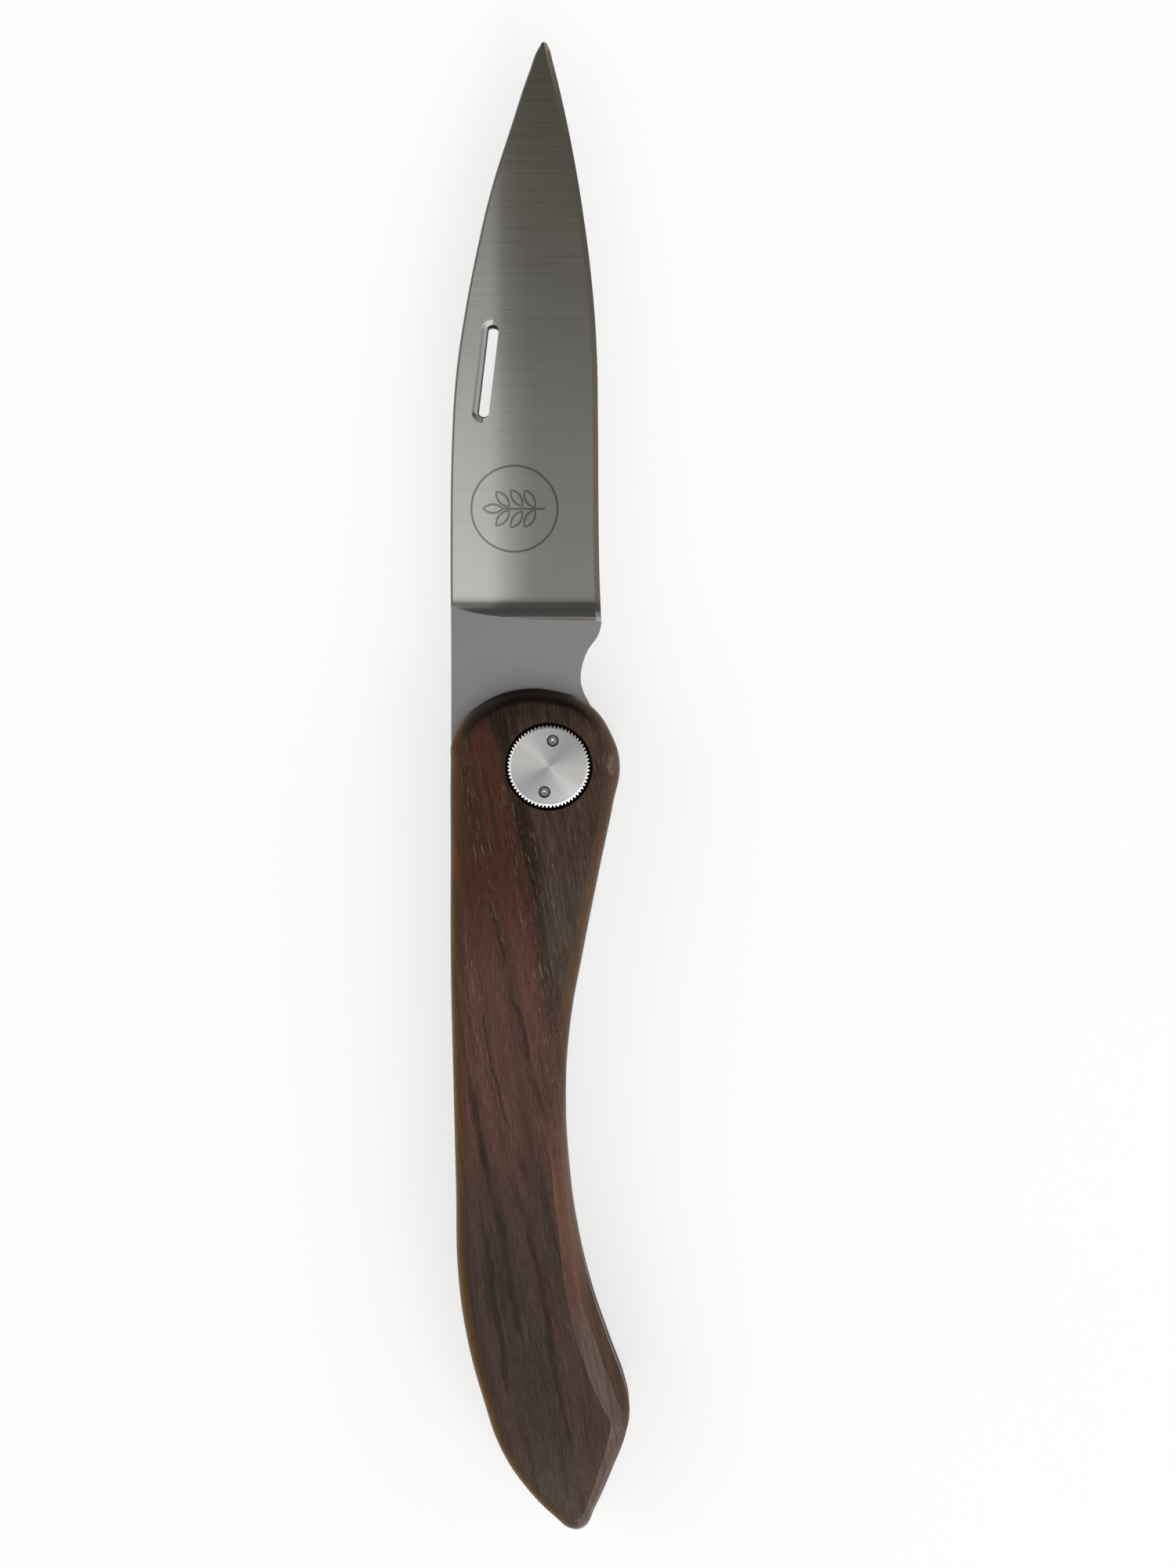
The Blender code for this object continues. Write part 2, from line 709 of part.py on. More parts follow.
clear_scene()
KNIFE = new_collection("folding_knife")
CUTTERS = new_collection("cutters", hidden=True)
WOOD = material("rosewood", (0.06, 0.028, 0.02), 0.42, 0.0)
STEEL = material("liner_steel", (0.42, 0.42, 0.42), 0.4, 1.0)
BLADE_STEEL = material("blade_steel", (0.5, 0.5, 0.49), 0.32, 1.0)
BRIGHT_STEEL = material("turned_steel", (0.62, 0.62, 0.61), 0.28, 1.0)
BRONZE = material("washer_bronze", (0.52, 0.3, 0.12), 0.35, 1.0)

make_scales()
make_liners()
make_spacer()
make_pivot()
make_detent()
make_fasteners()
make_blade()
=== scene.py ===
"""The looks of a folding grafting knife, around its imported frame: a satin hollow-ground blade,
two oiled rosewood scales, and knurled, lathe-turned pivot caps."""

import math
from itertools import pairwise

import bmesh
import bpy
from mathutils import Matrix, Vector
from mathutils.geometry import interpolate_bezier


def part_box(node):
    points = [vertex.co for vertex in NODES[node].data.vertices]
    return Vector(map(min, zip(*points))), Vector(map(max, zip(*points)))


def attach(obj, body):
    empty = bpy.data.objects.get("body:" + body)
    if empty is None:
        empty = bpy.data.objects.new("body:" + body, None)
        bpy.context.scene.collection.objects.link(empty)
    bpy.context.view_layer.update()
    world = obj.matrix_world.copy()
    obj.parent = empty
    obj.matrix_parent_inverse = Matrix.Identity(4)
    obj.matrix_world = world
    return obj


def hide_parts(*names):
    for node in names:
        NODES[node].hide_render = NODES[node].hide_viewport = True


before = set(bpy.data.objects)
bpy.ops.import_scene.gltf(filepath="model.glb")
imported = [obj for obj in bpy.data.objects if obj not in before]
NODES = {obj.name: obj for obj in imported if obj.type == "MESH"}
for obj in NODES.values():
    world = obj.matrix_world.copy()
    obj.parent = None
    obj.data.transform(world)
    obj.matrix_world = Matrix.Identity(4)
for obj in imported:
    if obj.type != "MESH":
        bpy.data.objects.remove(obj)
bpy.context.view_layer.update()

MM = 0.001
SCENE = bpy.context.scene

# Heights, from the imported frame. The blade's middle plane is the knife's own.
BLADE_LOW, BLADE_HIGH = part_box("blade")
MIDDLE = (BLADE_LOW.z + BLADE_HIGH.z) / 2
HALF_BLADE = (BLADE_HIGH.z - BLADE_LOW.z) / 2
SCALE_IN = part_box("front_scale")[0].z - MIDDLE
SCALE_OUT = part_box("front_scale")[1].z - MIDDLE
NUT_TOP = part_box("pivot_nut")[1].z - MIDDLE

# The handle's outline in mm: outer x, y, then x, y where the flat face begins, then how much of
# the edge between them is two filed facets, and not a rounding.
HANDLE = [
    (-13.95, 3.4, -11.65, 2.2, 0),
    (-14.05, 0.5, -11.80, -0.4, 0),
    (-14.06, -12.0, -11.90, -12.0, 0),
    (-14.05, -28.0, -11.95, -28.0, 0),
    (-13.65, -46.0, -11.60, -46.0, 0),
    (-13.30, -60.0, -11.30, -59.9, 0),
    (-12.95, -73.0, -10.95, -72.7, 0),
    (-11.60, -82.2, -9.80, -81.6, 0),
    (-9.40, -90.4, -7.80, -89.5, 0),
    (-6.80, -97.7, -5.50, -96.5, 0),
    (-3.00, -103.4, -2.00, -101.9, 0),
    (1.05, -107.45, 1.70, -105.8, 0),
    (3.10, -109.0, 3.30, -107.1, 0.3),
    (4.90, -108.9, 4.15, -107.2, 0.6),
    (6.60, -106.0, 5.25, -105.5, 0.9),
    (9.10, -100.4, 7.25, -100.0, 1.0),
    (10.95, -95.6, 8.60, -95.2, 1.0),
    (11.55, -92.0, 8.75, -93.4, 1.0),
    (11.00, -88.9, 7.60, -91.2, 1.0),
    (8.80, -82.8, 4.70, -83.9, 1.0),
    (6.10, -74.9, 2.60, -75.8, 1.0),
    (4.10, -66.5, 1.45, -67.0, 0.9),
    (3.00, -58.8, 0.55, -59.0, 0.6),
    (2.40, -47.0, -0.10, -47.0, 0),
    (3.10, -36.5, 0.60, -36.7, 0),
    (4.90, -26.4, 2.45, -26.8, 0),
    (7.20, -14.9, 4.75, -15.4, 0),
    (9.20, -5.3, 6.80, -5.8, 0),
    (10.15, 0.3, 7.75, 0.1, 0),
    (9.05, 4.4, 7.00, 3.4, 0),
    (5.80, 8.85, 4.60, 6.8, 0),
    (1.00, 10.8, 0.80, 8.4, 0),
    (-4.50, 11.0, -4.20, 8.6, 0),
    (-9.30, 9.2, -8.20, 7.0, 0),
    (-12.65, 6.2, -10.90, 4.6, 0),
]
ROUNDING_DROP = 2.8 * MM
ROUNDING_RINGS = 16
HANDLE_STEPS = 14
# Where the two facets meet, as shares of the way in and of the way up.
FACET_ACROSS, FACET_UP = 0.42, 0.7

# The pivot caps.
CAP_RADIUS = 5.96 * MM
CAP_BORE_RADIUS = 6.2 * MM
KNURL_TEETH = 66
KNURL_DEPTH = 0.36 * MM
FACE_RADIUS = 5.45 * MM
SPANNER_RADIUS = 0.78 * MM
SPANNER_DEPTH = 0.5 * MM
SPANNER_OFFSET = 3.7 * MM
SPANNER_ANGLE = math.radians(9.2)
THREAD_BORE_RADIUS = 2.26 * MM

# The blade.
AXLE_HOLE_RADIUS = 3.06 * MM
TANG_RADIUS = 9.8
SHOULDER_Y = -0.1
SPINE_X = -14.1 * MM
EDGE_X = 7.2 * MM
HALF_AT_SPINE = HALF_BLADE - 0.04 * MM
HALF_AT_EDGE = 0.18 * MM
HALF_AT_APEX = 0.025 * MM
PLUNGE_Y = 23.62 * MM
PLUNGE_RADIUS = 3.6 * MM
PLUNGE_SOFTNESS = 0.9 * MM
FULL_GRIND_Y = PLUNGE_Y + 9 * MM  # well past the plunge
STEEP_PLUNGE = 0.8  # a face's upward normal, below which the plunge's wall gets painted shade
SPINE_ROUNDING = 0.3 * MM
EDGE_BEVEL = 0.8 * MM
WINDOW_LOW = Vector((-9.5, 51.05, 0)) * MM
WINDOW_HIGH = Vector((-8.1, 62.9, 0)) * MM
WINDOW_RADIUS = 0.83 * MM
HEEL_FLAT_Y = 22.4 * MM
GROUND_FROM_Y = 15 * MM
NICK_FLOOR = 1.15 * MM
NICK_WALL = 0.6 * MM
NICK_DEPTH = 0.09 * MM
TRACK_RADIUS = 7.0 * MM
TRACK_WIDTH = 1.2 * MM
TRACK_DEPTH = 0.25 * MM
TRACK_ANGLES = (-60, 119)
PIT_RADIUS = 0.6 * MM
PIT_DEPTH = 0.3 * MM
CHOIL = [(6.0, 8.7), (4.8, 11.2), (4.55, 12.8), (4.85, 14.9), (5.7, 17.0), (7.0, 18.85)]
CUTTING_EDGE = [
    (7.5, 20.5),
    (7.45, 22.4),
    (7.25, 28.0),
    (7.1, 40.0),
    (7.05, 50.0),
    (6.85, 60.5),
    (6.2, 69.5),
    (5.1, 78.5),
    (3.65, 87.5),
    (1.8, 96.5),
    (0.5, 101.8),
    (-0.1, 103.9),
]
TIP = [(-0.7, 104.6)]
SPINE = [
    (-1.4, 103.9),
    (-2.8, 100.5),
    (-5.6, 92.0),
    (-8.4, 83.0),
    (-10.5, 74.0),
    (-12.2, 65.0),
    (-13.45, 56.0),
    (-14.0, 46.5),
    (-14.2, 32.0),
    (-14.1, 16.0),
]
BLADE_STEPS = 10
CUTTER_TOP = 8 * MM


# --- meshes -------------------------------------------------------------------------------


def sampled(knots, steps, corners=()):
    """Points in metres along the smooth closed curve through the knots, which are in mm."""
    curve = bpy.data.curves.new("outline", "CURVE")
    spline = curve.splines.new("BEZIER")
    spline.bezier_points.add(len(knots) - 1)
    spline.use_cyclic_u = True
    for index, (point, knot) in enumerate(zip(spline.bezier_points, knots)):
        kind = "VECTOR" if index in corners else "AUTO"
        point.handle_left_type = point.handle_right_type = kind
        point.co = (knot[0] * MM, knot[1] * MM, 0)
    holder = bpy.data.objects.new("outline", curve)
    SCENE.collection.objects.link(holder)
    bpy.context.view_layer.update()
    ends = list(spline.bezier_points)
    points = []
    for a, b in pairwise([*ends, ends[0]]):
        points += interpolate_bezier(a.co, a.handle_right, b.handle_left, b.co, steps + 1)[:-1]
    bpy.data.objects.remove(holder)
    return [Vector((p.x, p.y, 0)) for p in points]


def mesh_from(bm, name):
    bmesh.ops.recalc_face_normals(bm, faces=bm.faces)
    mesh = bpy.data.meshes.new(name)
    bm.to_mesh(mesh)
    bm.free()
    return mesh


def lofted(name, rings):
    """A solid through rings of points, each joined to the next, with flat ends."""
    bm = bmesh.new()
    levels = [[bm.verts.new(p) for p in ring] for ring in rings]
    for low, high in pairwise(levels):
        for k in range(len(low)):
            n = (k + 1) % len(low)
            bm.faces.new((low[k], low[n], high[n], high[k]))
    bm.faces.new(levels[0])
    bm.faces.new(levels[-1])
    return mesh_from(bm, name)


def plate(name, points, low, high):
    """A flat solid with this outline."""
    rings = [[Vector((p.x, p.y, z)) for p in points] for z in (low, high)]
    return lofted(name, rings)


def circle(radius, height, at, segments):
    turns = (2 * math.pi * k / segments for k in range(segments))
    return [at + Vector((radius * math.cos(a), radius * math.sin(a), height)) for a in turns]


def turned(name, profile, at=Vector((0, 0, 0)), segments=48):
    """A turned solid about Z, from (radius, height) pairs. A radius of 0 becomes a tiny one."""
    rings = [circle(max(r, 0.002 * MM), z, at, segments) for r, z in profile]
    return lofted(name, rings)


def rod(name, radius, low, high, segments=48):
    return turned(name, [(radius, low), (radius, high)], segments=segments)


def flipped(mesh):
    """The mesh turned over. Its faces keep their material indices, but it has no materials."""
    bm = bmesh.new()
    bm.from_mesh(mesh)
    bmesh.ops.scale(bm, verts=bm.verts, vec=(1, 1, -1))
    return mesh_from(bm, mesh.name)


def cut_mesh(mesh, cutters):
    """The mesh with every cutter mesh taken away."""
    body = bpy.data.objects.new(mesh.name, mesh)
    SCENE.collection.objects.link(body)
    helpers = []
    for cutter in cutters:
        helper = bpy.data.objects.new("cutter", cutter)
        SCENE.collection.objects.link(helper)
        helpers.append(helper)
        modifier = body.modifiers.new("cut", "BOOLEAN")
        modifier.operation = "DIFFERENCE"
        modifier.object = helper
    bpy.context.view_layer.update()
    graph = bpy.context.evaluated_depsgraph_get()
    result = bpy.data.meshes.new_from_object(body.evaluated_get(graph))
    for used in [*helpers, body]:
        bpy.data.objects.remove(used)
    result.name = mesh.name
    return result


def set_finishes(mesh, finishes, choose):
    """Gives the mesh these materials, and each face the one that choose says."""
    mesh.materials.clear()
    for finish in finishes:
        mesh.materials.append(finish)
    for face in mesh.polygons:
        face.material_index = finishes.index(choose(face))


def piece(name, mesh, body, slot, *stands_for, height=MIDDLE, smooth_angle=30):
    """A shown piece. Its mesh is about the pivot, on the middle plane."""
    mesh.transform(Matrix.Translation((0, 0, height)))
    mesh.shade_smooth()
    mesh.set_sharp_from_angle(angle=math.radians(smooth_angle))
    obj = bpy.data.objects.new(name, mesh)
    SCENE.collection.objects.link(obj)
    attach(obj, body)
    if stands_for:
        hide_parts(*stands_for)
    return obj


# --- materials ----------------------------------------------------------------------------


RANGE_SOCKETS = ("Value", "From Min", "From Max", "To Min", "To Max")


class Graph:
    """A material's or a world's nodes, with short ways to add and join them."""

    def __init__(self, owner):
        owner.use_nodes = True
        self.tree = owner.node_tree

    def add(self, kind, **settings):
        made = self.tree.nodes.new(kind)
        for key, value in settings.items():
            setattr(made, key, value)
        return made

    def join(self, source, target):
        self.tree.links.new(source, target)

    def put(self, target, value):
        """Joins a socket to this one, or sets a plain value."""
        if isinstance(value, bpy.types.NodeSocket):
            self.join(value, target)
        elif isinstance(value, tuple) and len(value) == 3 and len(target.default_value) == 4:
            target.default_value = (*value, 1)
        else:
            target.default_value = value

    def math(self, operation, *values):
        made = self.add("ShaderNodeMath", operation=operation)
        for socket, value in zip(made.inputs, values):
            self.put(socket, value)
        return made.outputs[0]

    def vector(self, operation, *values):
        made = self.add("ShaderNodeVectorMath", operation=operation)
        sockets = [made.inputs[0], made.inputs["Scale"]] if operation == "SCALE" else made.inputs
        for socket, value in zip(sockets, values):
            self.put(socket, value)
        return made.outputs["Value" if operation in ("DOT_PRODUCT", "LENGTH") else "Vector"]

    def ramp(self, value, low, high, start=0.0, end=1.0, interpolation="LINEAR"):
        """A straight ramp from start to end, as the value goes from low to high."""
        made = self.add("ShaderNodeMapRange", interpolation_type=interpolation)
        for key, given in zip(RANGE_SOCKETS, (value, low, high, start, end)):
            self.put(made.inputs[key], given)
        return made.outputs["Result"]

    def step(self, value, low, high, start=0.0, end=1.0):
        """A smooth step from start to end, as the value goes from low to high."""
        return self.ramp(value, low, high, start, end, "SMOOTHSTEP")

    def noise(self, place, scale, detail=2.0, roughness=0.5):
        """Noise of a place in mm, stretched by scale's three numbers per mm."""
        stretched = self.vector("MULTIPLY", place, scale)
        made = self.add("ShaderNodeTexNoise")
        self.put(made.inputs["Vector"], stretched)
        made.inputs["Scale"].default_value = 1
        made.inputs["Detail"].default_value = detail
        made.inputs["Roughness"].default_value = roughness
        return made.outputs["Fac"]

    def mix(self, factor, a, b, blend="MIX"):
        made = self.add("ShaderNodeMix", data_type="RGBA", blend_type=blend)
        self.put(made.inputs["Factor"], factor)
        self.put(made.inputs["A"], a)
        self.put(made.inputs["B"], b)
        return made.outputs[2]

    def shaded(self, colour, amount):
        """The colour times a number."""
        return self.mix(1.0, colour, self.vector("MULTIPLY", amount, (1.0, 1.0, 1.0)), "MULTIPLY")

    def between(self, a, b, share):
        """The number that lies this share of the way from a to b."""
        return self.math("MULTIPLY_ADD", share, self.math("SUBTRACT", b, a), a)

    def split(self, vector):
        """The vector's X, Y and Z."""
        made = self.add("ShaderNodeSeparateXYZ")
        self.put(made.inputs[0], vector)
        return made.outputs

    def normal(self):
        """The surface's direction, in its object's own axes."""
        return self.add("ShaderNodeTexCoord").outputs["Normal"]

    def bump(self, height, strength, distance):
        made = self.add("ShaderNodeBump")
        made.inputs["Strength"].default_value = strength
        made.inputs["Distance"].default_value = distance
        self.put(made.inputs["Height"], height)
        return made.outputs["Normal"]

    def place_mm(self):
        place = self.add("ShaderNodeTexCoord").outputs["Object"]
        return self.vector("MULTIPLY", place, (1000.0, 1000.0, 1000.0))


def shader_of(name):
    made = bpy.data.materials.new(name)
    graph = Graph(made)
    return made, graph, made.node_tree.nodes["Principled BSDF"]


def steel(
    name, colour, roughness, lines, line_depth=0.0008, anisotropy=0.0, along=None, tone=0.08
):
    """Worked steel. lines is how often per mm its marks change along X, Y and Z, line_depth is
    how deep they are in mm, and tone is how far they change its colour. along is the direction
    across the marks, or "radial" for marks turned about the pivot."""
    made, g, shader = shader_of(name)
    place = g.place_mm()
    if along == "radial":
        flat = g.vector("MULTIPLY", place, (1.0, 1.0, 0.0))
        combined = g.add("ShaderNodeCombineXYZ")
        g.put(combined.inputs[0], g.vector("LENGTH", flat))
        marks_at = combined.outputs[0]
        direction = g.vector("NORMALIZE", flat)
    else:
        marks_at, direction = place, along
    marks = g.noise(marks_at, lines, detail=3, roughness=0.6)
    cloud = g.noise(place, (0.12, 0.12, 0.12), detail=2)
    shade = g.math("ADD", g.math("MULTIPLY", marks, tone), g.math("MULTIPLY", cloud, tone * 0.6))
    shade = g.math("ADD", shade, 1 - tone * 0.8)
    g.put(shader.inputs["Base Color"], g.shaded(colour, shade))
    shader.inputs["Metallic"].default_value = 1
    rough = g.math("ADD", g.math("MULTIPLY", marks, roughness * 0.3), roughness * 0.85)
    g.put(shader.inputs["Roughness"], rough)
    if anisotropy:
        shader.inputs["Anisotropic"].default_value = anisotropy
        turn = g.add(
            "ShaderNodeVectorTransform",
            vector_type="VECTOR",
            convert_from="OBJECT",
            convert_to="WORLD",
        )
        g.put(turn.inputs[0], direction)
        g.put(shader.inputs["Tangent"], turn.outputs[0])
    g.put(shader.inputs["Normal"], g.bump(marks, 1.0, line_depth * MM))
    return made


GRAIN_TILT = math.radians(-9.8)
GRAIN_DIP = 0.06
GRAIN_WANDER = 5.0  # mm
# The heartwood's edge on the scale: its X in mm level with the pivot, and its slope.
HEART_X, HEART_SLOPE = -6.9, -0.231
GLINT_PATCH = (8.9, 0.2, 0.0)  # mm, the middle of a painted highlight on the right rim beside the pivot
# Which way the handle's sides face.
TOWARDS_PIVOT_END = (-0.17, 0.985, 0.0)
TOWARDS_SPINE = (-0.95, -0.31, 0.0)
TOWARDS_MOUTH = (0.98, 0.18, 0.0)
# Dark streaks in the wood: X and Y of each end in mm, then half its width.
DARK_STREAKS = [
    (-9.2, -17.0, -5.6, -31.0, 0.35),
    (-5.6, -30.0, -2.2, -45.0, 0.28),
    (-3.1, -42.0, -0.3, -52.0, 0.55),
    (-11.8, -43.0, -8.3, -61.0, 0.6),
    (-10.4, -32.0, -5.6, -54.0, 0.22),
    (-5.4, -53.0, -2.0, -61.0, 0.7),
    (-8.0, -60.0, -3.5, -84.0, 0.5),
    (-9.6, -64.0, -5.2, -92.0, 0.4),
    (-3.4, -62.0, 2.6, -95.0, 0.45),
    (0.1, -52.0, 1.8, -66.0, 0.18),
    (-0.8, -74.0, 3.6, -100.0, 0.3),
    (-10.0, 3.0, -6.4, -14.0, 0.25),
]
STREAK_FADE = 5.0  # mm


def grain_place(g, place):
    """The place, turned so that Y runs along the grain, and wandering a little across it."""
    turned_place = g.add("ShaderNodeMapping")
    turned_place.inputs["Rotation"].default_value = (GRAIN_DIP, 0, GRAIN_TILT)
    g.put(turned_place.inputs["Vector"], place)
    grain = turned_place.outputs[0]
    wander = g.noise(grain, (0.05, 0.02, 0.05), detail=1)
    moved = g.add("ShaderNodeCombineXYZ")
    g.put(moved.inputs[0], g.math("MULTIPLY", g.math("SUBTRACT", wander, 0.5), GRAIN_WANDER))
    return g.vector("ADD", grain, moved.outputs[0])


def streaked_wood(g, grain, y, middle, fine):
    """Red brown wood in broad streaks, palest at the handle's waist and greyest at its butt."""
    streaks = g.noise(grain, (0.22, 0.011, 0.15), detail=3, roughness=0.55)
    streaks = g.step(streaks, 0.4, 0.62)
    upper = g.mix(streaks, (0.042, 0.020, 0.012), (0.070, 0.022, 0.013))
    waist = g.mix(streaks, (0.060, 0.034, 0.026), (0.100, 0.048, 0.037))
    lower = g.mix(streaks, (0.048, 0.034, 0.026), (0.070, 0.039, 0.031))
    butt = g.mix(streaks, (0.072, 0.054, 0.040), (0.092, 0.060, 0.044))
    colour = g.mix(g.step(y, -36.0, -12.0), waist, upper)
    colour = g.mix(g.step(y, -64.0, -48.0, 1.0, 0.0), colour, lower)
    colour = g.mix(g.step(y, -106.0, -94.0, 1.0, 0.0), colour, butt)
    colour = g.mix(g.step(middle, 0.5, 0.68, 0.0, 0.6), colour, (0.030, 0.019, 0.013))
    return g.mix(g.step(fine, 0.52, 0.76, 0.0, 0.35), colour, (0.13, 0.075, 0.052))


def with_heartwood(g, colour, x, y, fine):
    """Adds the dark heartwood, and gives where it is. It is darkest along its slanting edge."""
    into = g.math("SUBTRACT", x, g.math("MULTIPLY_ADD", y, HEART_SLOPE, HEART_X))
    heart = g.math("MULTIPLY", g.step(into, -0.1, 0.4), g.step(y, -38.0, -33.0))
    lines = g.step(fine, 0.3, 0.7)
    darkest = g.mix(lines, (0.012, 0.006, 0.004), (0.032, 0.019, 0.013))
    paler = g.mix(lines, (0.042, 0.031, 0.022), (0.082, 0.060, 0.043))
    redder = g.mix(lines, (0.032, 0.018, 0.014), (0.074, 0.042, 0.033))
    paler = g.mix(g.step(y, -20.0, -8.0), paler, redder)
    dark_edge = g.ramp(y, -25.0, -12.0, -0.8, 1.6)
    inner = g.mix(g.step(into, dark_edge, g.math("ADD", dark_edge, 2.2)), darkest, paler)
    colour = g.mix(g.math("MULTIPLY", heart, 0.92), colour, inner)
    return g.mix(g.step(y, 3.5, 8.5, 0.0, 0.85), colour, darkest), heart


def with_dark_streaks(g, colour, x, y):
    dark = 0.0
    for x0, y0, x1, y1, width in DARK_STREAKS:
        slope = (x1 - x0) / (y1 - y0)
        away = g.math("MULTIPLY_ADD", y, -slope, g.math("SUBTRACT", x, x0 - slope * y0))
        streak = g.step(g.math("ABSOLUTE", away), width * 0.3, width * 1.5, 1.0, 0.0)
        streak = g.math("MULTIPLY", streak, g.step(y, y1, y1 + STREAK_FADE))
        streak = g.math("MULTIPLY", streak, g.step(y, y0 - STREAK_FADE, y0, 1.0, 0.0))
        dark = g.math("MAXIMUM", dark, streak)
    return g.mix(g.math("MULTIPLY", dark, 0.72), colour, (0.026, 0.018, 0.013))


def open_pores(g, grain, y, heart):
    """1 on the pores: short dashes along the grain, in crowds, rarer in the heart and the butt."""
    cells = g.noise(grain, (10.0, 0.12, 8.0), detail=1, roughness=0.4)
    crowd = g.noise(grain, (0.28, 0.03, 0.2), detail=1)
    pores = g.math("MULTIPLY", g.step(cells, 0.655, 0.71), g.step(crowd, 0.45, 0.6))
    pores = g.math("MULTIPLY", pores, g.step(y, -62.0, -40.0, 0.12, 1.0))
    return g.math("MULTIPLY", pores, g.math("MULTIPLY_ADD", heart, -0.2, 1.0))


def with_rim_light_and_shade(g, colour, grainy):
    """Adds painted light and shade on the rims: near black shade past the pivot, an amber highlight
    on the left and a russet sheen on the right, each where the edge has turned away from the face."""
    end = g.vector("DOT_PRODUCT", g.normal(), TOWARDS_PIVOT_END)
    # Painted shade on the faces towards the pivot end.
    colour = g.mix(g.step(end, 0.03, 0.3, 0.0, 0.9), colour, (0.006, 0.003, 0.002))
    left = g.vector("DOT_PRODUCT", g.normal(), TOWARDS_SPINE)
    # A darker band, then an amber highlight, painted on the left rim.
    colour = g.mix(g.step(left, 0.02, 0.2, 0.0, 0.35), colour, (0.030, 0.018, 0.010))
    amber = g.vector("MULTIPLY", grainy, (0.075, 0.034, 0.004))
    colour = g.mix(g.step(left, 0.25, 0.7, 0.0, 0.9), colour, amber)
    # A russet sheen painted on the right rim.
    right = g.vector("DOT_PRODUCT", g.normal(), TOWARDS_MOUTH)
    russet = g.vector("MULTIPLY", grainy, (0.092, 0.046, 0.022))
    return g.mix(g.step(right, 0.2, 0.75, 0.0, 0.75), colour, russet)


def with_facet_sheen(g, colour, y, grainy):
    """Adds the two filed facets near the butt: a pale painted sheen on the inner one, and a browner
    outer one. Below the butt's corner both are steeper."""
    right = g.vector("DOT_PRODUCT", g.normal(), TOWARDS_MOUTH)
    filed = g.math("MULTIPLY", g.step(right, 0.08, 0.14), g.step(y, -60.0, -48.0, 0.9, 0.0))
    # The pale inner facet's colours are a painted sheen.
    pale = g.mix(g.step(y, -84.0, -74.0), (0.125, 0.091, 0.075), (0.132, 0.062, 0.045))
    pale = g.mix(g.step(y, -98.0, -94.0), (0.112, 0.074, 0.064), pale)
    outer = g.mix(g.step(y, -78.0, -68.0), (0.072, 0.038, 0.023), (0.105, 0.054, 0.033))
    steeper = g.step(y, -94.0, -91.0, 0.22, 0.0)
    facet = g.mix(g.step(g.math("SUBTRACT", right, steeper), 0.35, 0.6), pale, outer)
    return g.mix(filed, colour, g.vector("MULTIPLY", grainy, facet))


def rosewood():
    """Oiled rosewood: tilted streaks from red brown to near black, with pale open pores."""
    made, g, shader = shader_of("rosewood")
    place = g.place_mm()
    grain = grain_place(g, place)
    straight_x, y, _ = g.split(place)
    wobble = g.noise(grain, (0.35, 0.11, 0.3), detail=3, roughness=0.6)
    x = g.math("ADD", straight_x, g.math("MULTIPLY_ADD", wobble, 2.4, -1.2))
    middle = g.noise(grain, (0.9, 0.022, 0.6), detail=3, roughness=0.6)
    fine = g.noise(grain, (3.6, 0.07, 2.4), detail=3, roughness=0.6)
    fibre = g.noise(grain, (12.0, 0.12, 9.0), detail=3, roughness=0.65)
    dim = g.step(fibre, 0.3, 0.7, 0.66, 1.3)

    colour = streaked_wood(g, grain, y, middle, fine)
    colour, heart = with_heartwood(g, colour, x, y, fine)
    colour = g.shaded(with_dark_streaks(g, colour, x, y), dim)
    pores = open_pores(g, grain, y, heart)
    colour = g.mix(g.math("MULTIPLY", pores, 0.85), colour, (0.2, 0.145, 0.115))
    grainy = g.math("MULTIPLY", dim, g.step(middle, 0.35, 0.65, 1.25, 0.8))
    # Painted light and shade on the rims.
    colour = with_rim_light_and_shade(g, colour, grainy)
    # Painted sheen on the filed facets near the butt.
    colour = with_facet_sheen(g, colour, y, grainy)
    # A painted highlight: a pale patch on the rim beside the pivot, broken by the fibres.
    patch = g.vector("MULTIPLY", g.vector("SUBTRACT", place, GLINT_PATCH), (1.3, 0.6, 0.0))
    glint = g.step(g.vector("LENGTH", patch), 0.6, 1.2, 0.4, 0.0)
    colour = g.mix(g.math("MULTIPLY", glint, g.step(fibre, 0.3, 0.6)), colour, (0.22, 0.17, 0.15))
    g.put(shader.inputs["Base Color"], colour)
    g.put(shader.inputs["Roughness"], g.step(fibre, 0.2, 0.8, 0.3, 0.42))
    shader.inputs["Specular IOR Level"].default_value = 0.11
    relief = g.math("SUBTRACT", g.math("MULTIPLY", fibre, 0.25), pores)
    g.put(shader.inputs["Normal"], g.bump(relief, 0.5, 0.03 * MM))
    return made


# The etched mark: a ring round a sprig, whose stem runs along X. All in mm, about its middle.
MARK_MIDDLE = (-5.0, 37.2, 0.0)
MARK_RADIUS = 6.2
MARK_LINE = 0.15
MARK_SOFTNESS = 0.075
MARK_SHARE = 0.62  # how far its lines take the blade's colour towards their own
STEM_MIDDLE, STEM_HALF = -1.3, 3.0
# Each leaf's place across and along the stem, and its turn in degrees.
LEAVES = [(0.0, 3.1, 0)]
for across_stem, along_stem, leaf_turn in ((1.35, 1.7, -50), (1.55, -0.3, -55), (1.4, -2.2, -60)):
    LEAVES += [(across_stem, along_stem, leaf_turn), (-across_stem, along_stem, -leaf_turn)]
LEAF_LENGTH, LEAF_WIDTH = 1.45, 0.62


def drawn_line(g, away):
    """1 within a line's half width of where away is 0."""
    away = g.math("ABSOLUTE", away)
    return g.step(away, MARK_LINE - MARK_SOFTNESS, MARK_LINE + MARK_SOFTNESS, 1.0, 0.0)


